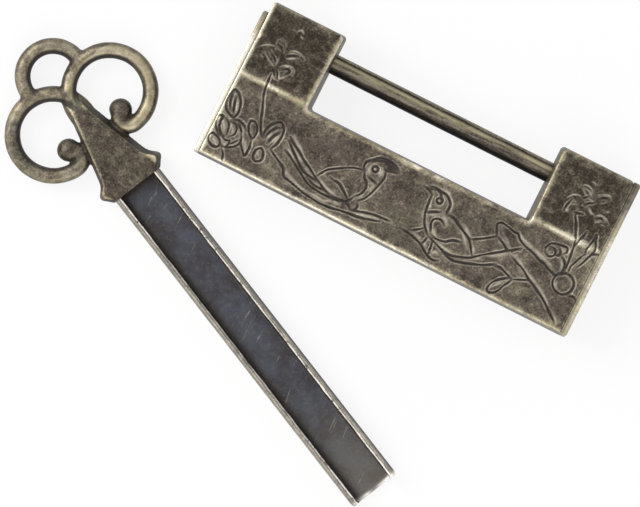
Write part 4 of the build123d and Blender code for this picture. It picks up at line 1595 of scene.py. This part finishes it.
class PadlockPatina(bpy.types.PropertyGroup):
    brown: patina_colour("Brown", "The patina's main brown", 83, 74, 66)
    olive: patina_colour("Olive", "Greener blotches in the patina", 89, 82, 69)
    umber: patina_colour("Umber", "Darkest blotches in the patina", 50, 43, 38)
    bronze: patina_colour("Bronze", "Half rubbed metal", 129, 121, 103)
    # brass: rubbed metal, also the painted highlight along the bar's crown
    brass: patina_colour("Brass", "Rubbed metal", 176, 165, 132)
    # pale: the brightest rims, worn metal with a painted highlight
    pale: patina_colour("Pale", "Brightest rubbed rims", 232, 226, 208)
    # shade: painted shade on the ears' and plates' leaning faces and on the near knob, and the
    # collar's own darker face
    shade: patina_colour("Shade", "Darker patina of the ears and the collar", 41, 34, 26)
    # lip: grey metal, also the painted highlight along the cuts' lips
    lip: patina_colour("Lip", "Grey metal on the lips of the cuts", 176, 167, 151)
    # grime and painted shade: what stays in cuts and corners, and the painted shade under the bar
    # and on the key's walls
    grime_and_shade: patina_colour("Grime", "What stays in cuts and corners", 34, 29, 26)
    # scraped metal along the channel's rims, with a painted highlight
    scrape_and_highlight: patina_colour("Scraped", "Bare metal along the channel's rims", 232, 226, 219)
    copper: patina_colour("Copper", "Reddish spots on the collar", 126, 84, 62)
    steel: patina_colour("Steel", "Bluish floor of the channel", 71, 73, 81)
    slate: patina_colour("Slate", "Darker clouds on that floor", 55, 53, 57)


class PadlockStage(bpy.types.PropertyGroup):
    view_x: length_value("View X", "Middle of the view", -7.137)
    view_y: length_value("View Y", "Middle of the view", -11.86)
    view_width: length_value("View width", "Width of the table in view", 96.06)
    view_turn: FloatProperty(
        name="View turn", description="Turn of the camera about its line of sight",
        default=radians(26.7), subtype="ANGLE",
    )
    distance: length_value("Distance", "Height of the camera above the table", 1250)
    lamp_watts: FloatProperty(
        name="Lamp", description="Power of the main lamp", default=7.2, unit="POWER"
    )
    room_light: FloatProperty(
        name="Room light", description="Strength of the room's light", default=0.5
    )


GROUPS = {
    "padlock_engraving": PadlockEngraving,
    "padlock_bar": PadlockBar,
    "padlock_key": PadlockKey,
    "padlock_patina": PadlockPatina,
    "padlock_stage": PadlockStage,
}


class PADLOCK_PT_panel(bpy.types.Panel):
    """The padlock's pieces and values"""

    bl_label = "Padlock"
    bl_idname = "PADLOCK_PT_panel"
    bl_space_type = "VIEW_3D"
    bl_region_type = "UI"
    bl_category = "Padlock"

    def draw(self, context):
        for operator in OPERATORS:
            self.layout.operator(operator.bl_idname)
        for name, group in GROUPS.items():
            box = self.layout.box()
            for value in group.__annotations__:
                box.prop(getattr(context.scene, name), value)


OPERATORS = (
    PADLOCK_OT_stage,
    PADLOCK_OT_engraved_front,
    PADLOCK_OT_drawn_bar,
    PADLOCK_OT_key_bow,
    PADLOCK_OT_key_shank,
    PADLOCK_OT_plain_pieces,
)


def register():
    for group in GROUPS.values():
        bpy.utils.register_class(group)
    for name, group in GROUPS.items():
        setattr(bpy.types.Scene, name, PointerProperty(type=group))
    for operator in OPERATORS:
        bpy.utils.register_class(operator)
    bpy.utils.register_class(PADLOCK_PT_panel)


def unregister():
    bpy.utils.unregister_class(PADLOCK_PT_panel)
    for operator in reversed(OPERATORS):
        bpy.utils.unregister_class(operator)
    for name, group in reversed(GROUPS.items()):
        delattr(bpy.types.Scene, name)
        bpy.utils.unregister_class(group)


def main():
    register()
    bpy.ops.padlock.stage()
    bpy.ops.padlock.engraved_front()
    bpy.ops.padlock.drawn_bar()
    bpy.ops.padlock.key_bow()
    bpy.ops.padlock.key_shank()
    bpy.ops.padlock.plain_pieces()


if __name__ == "__main__":
    main()
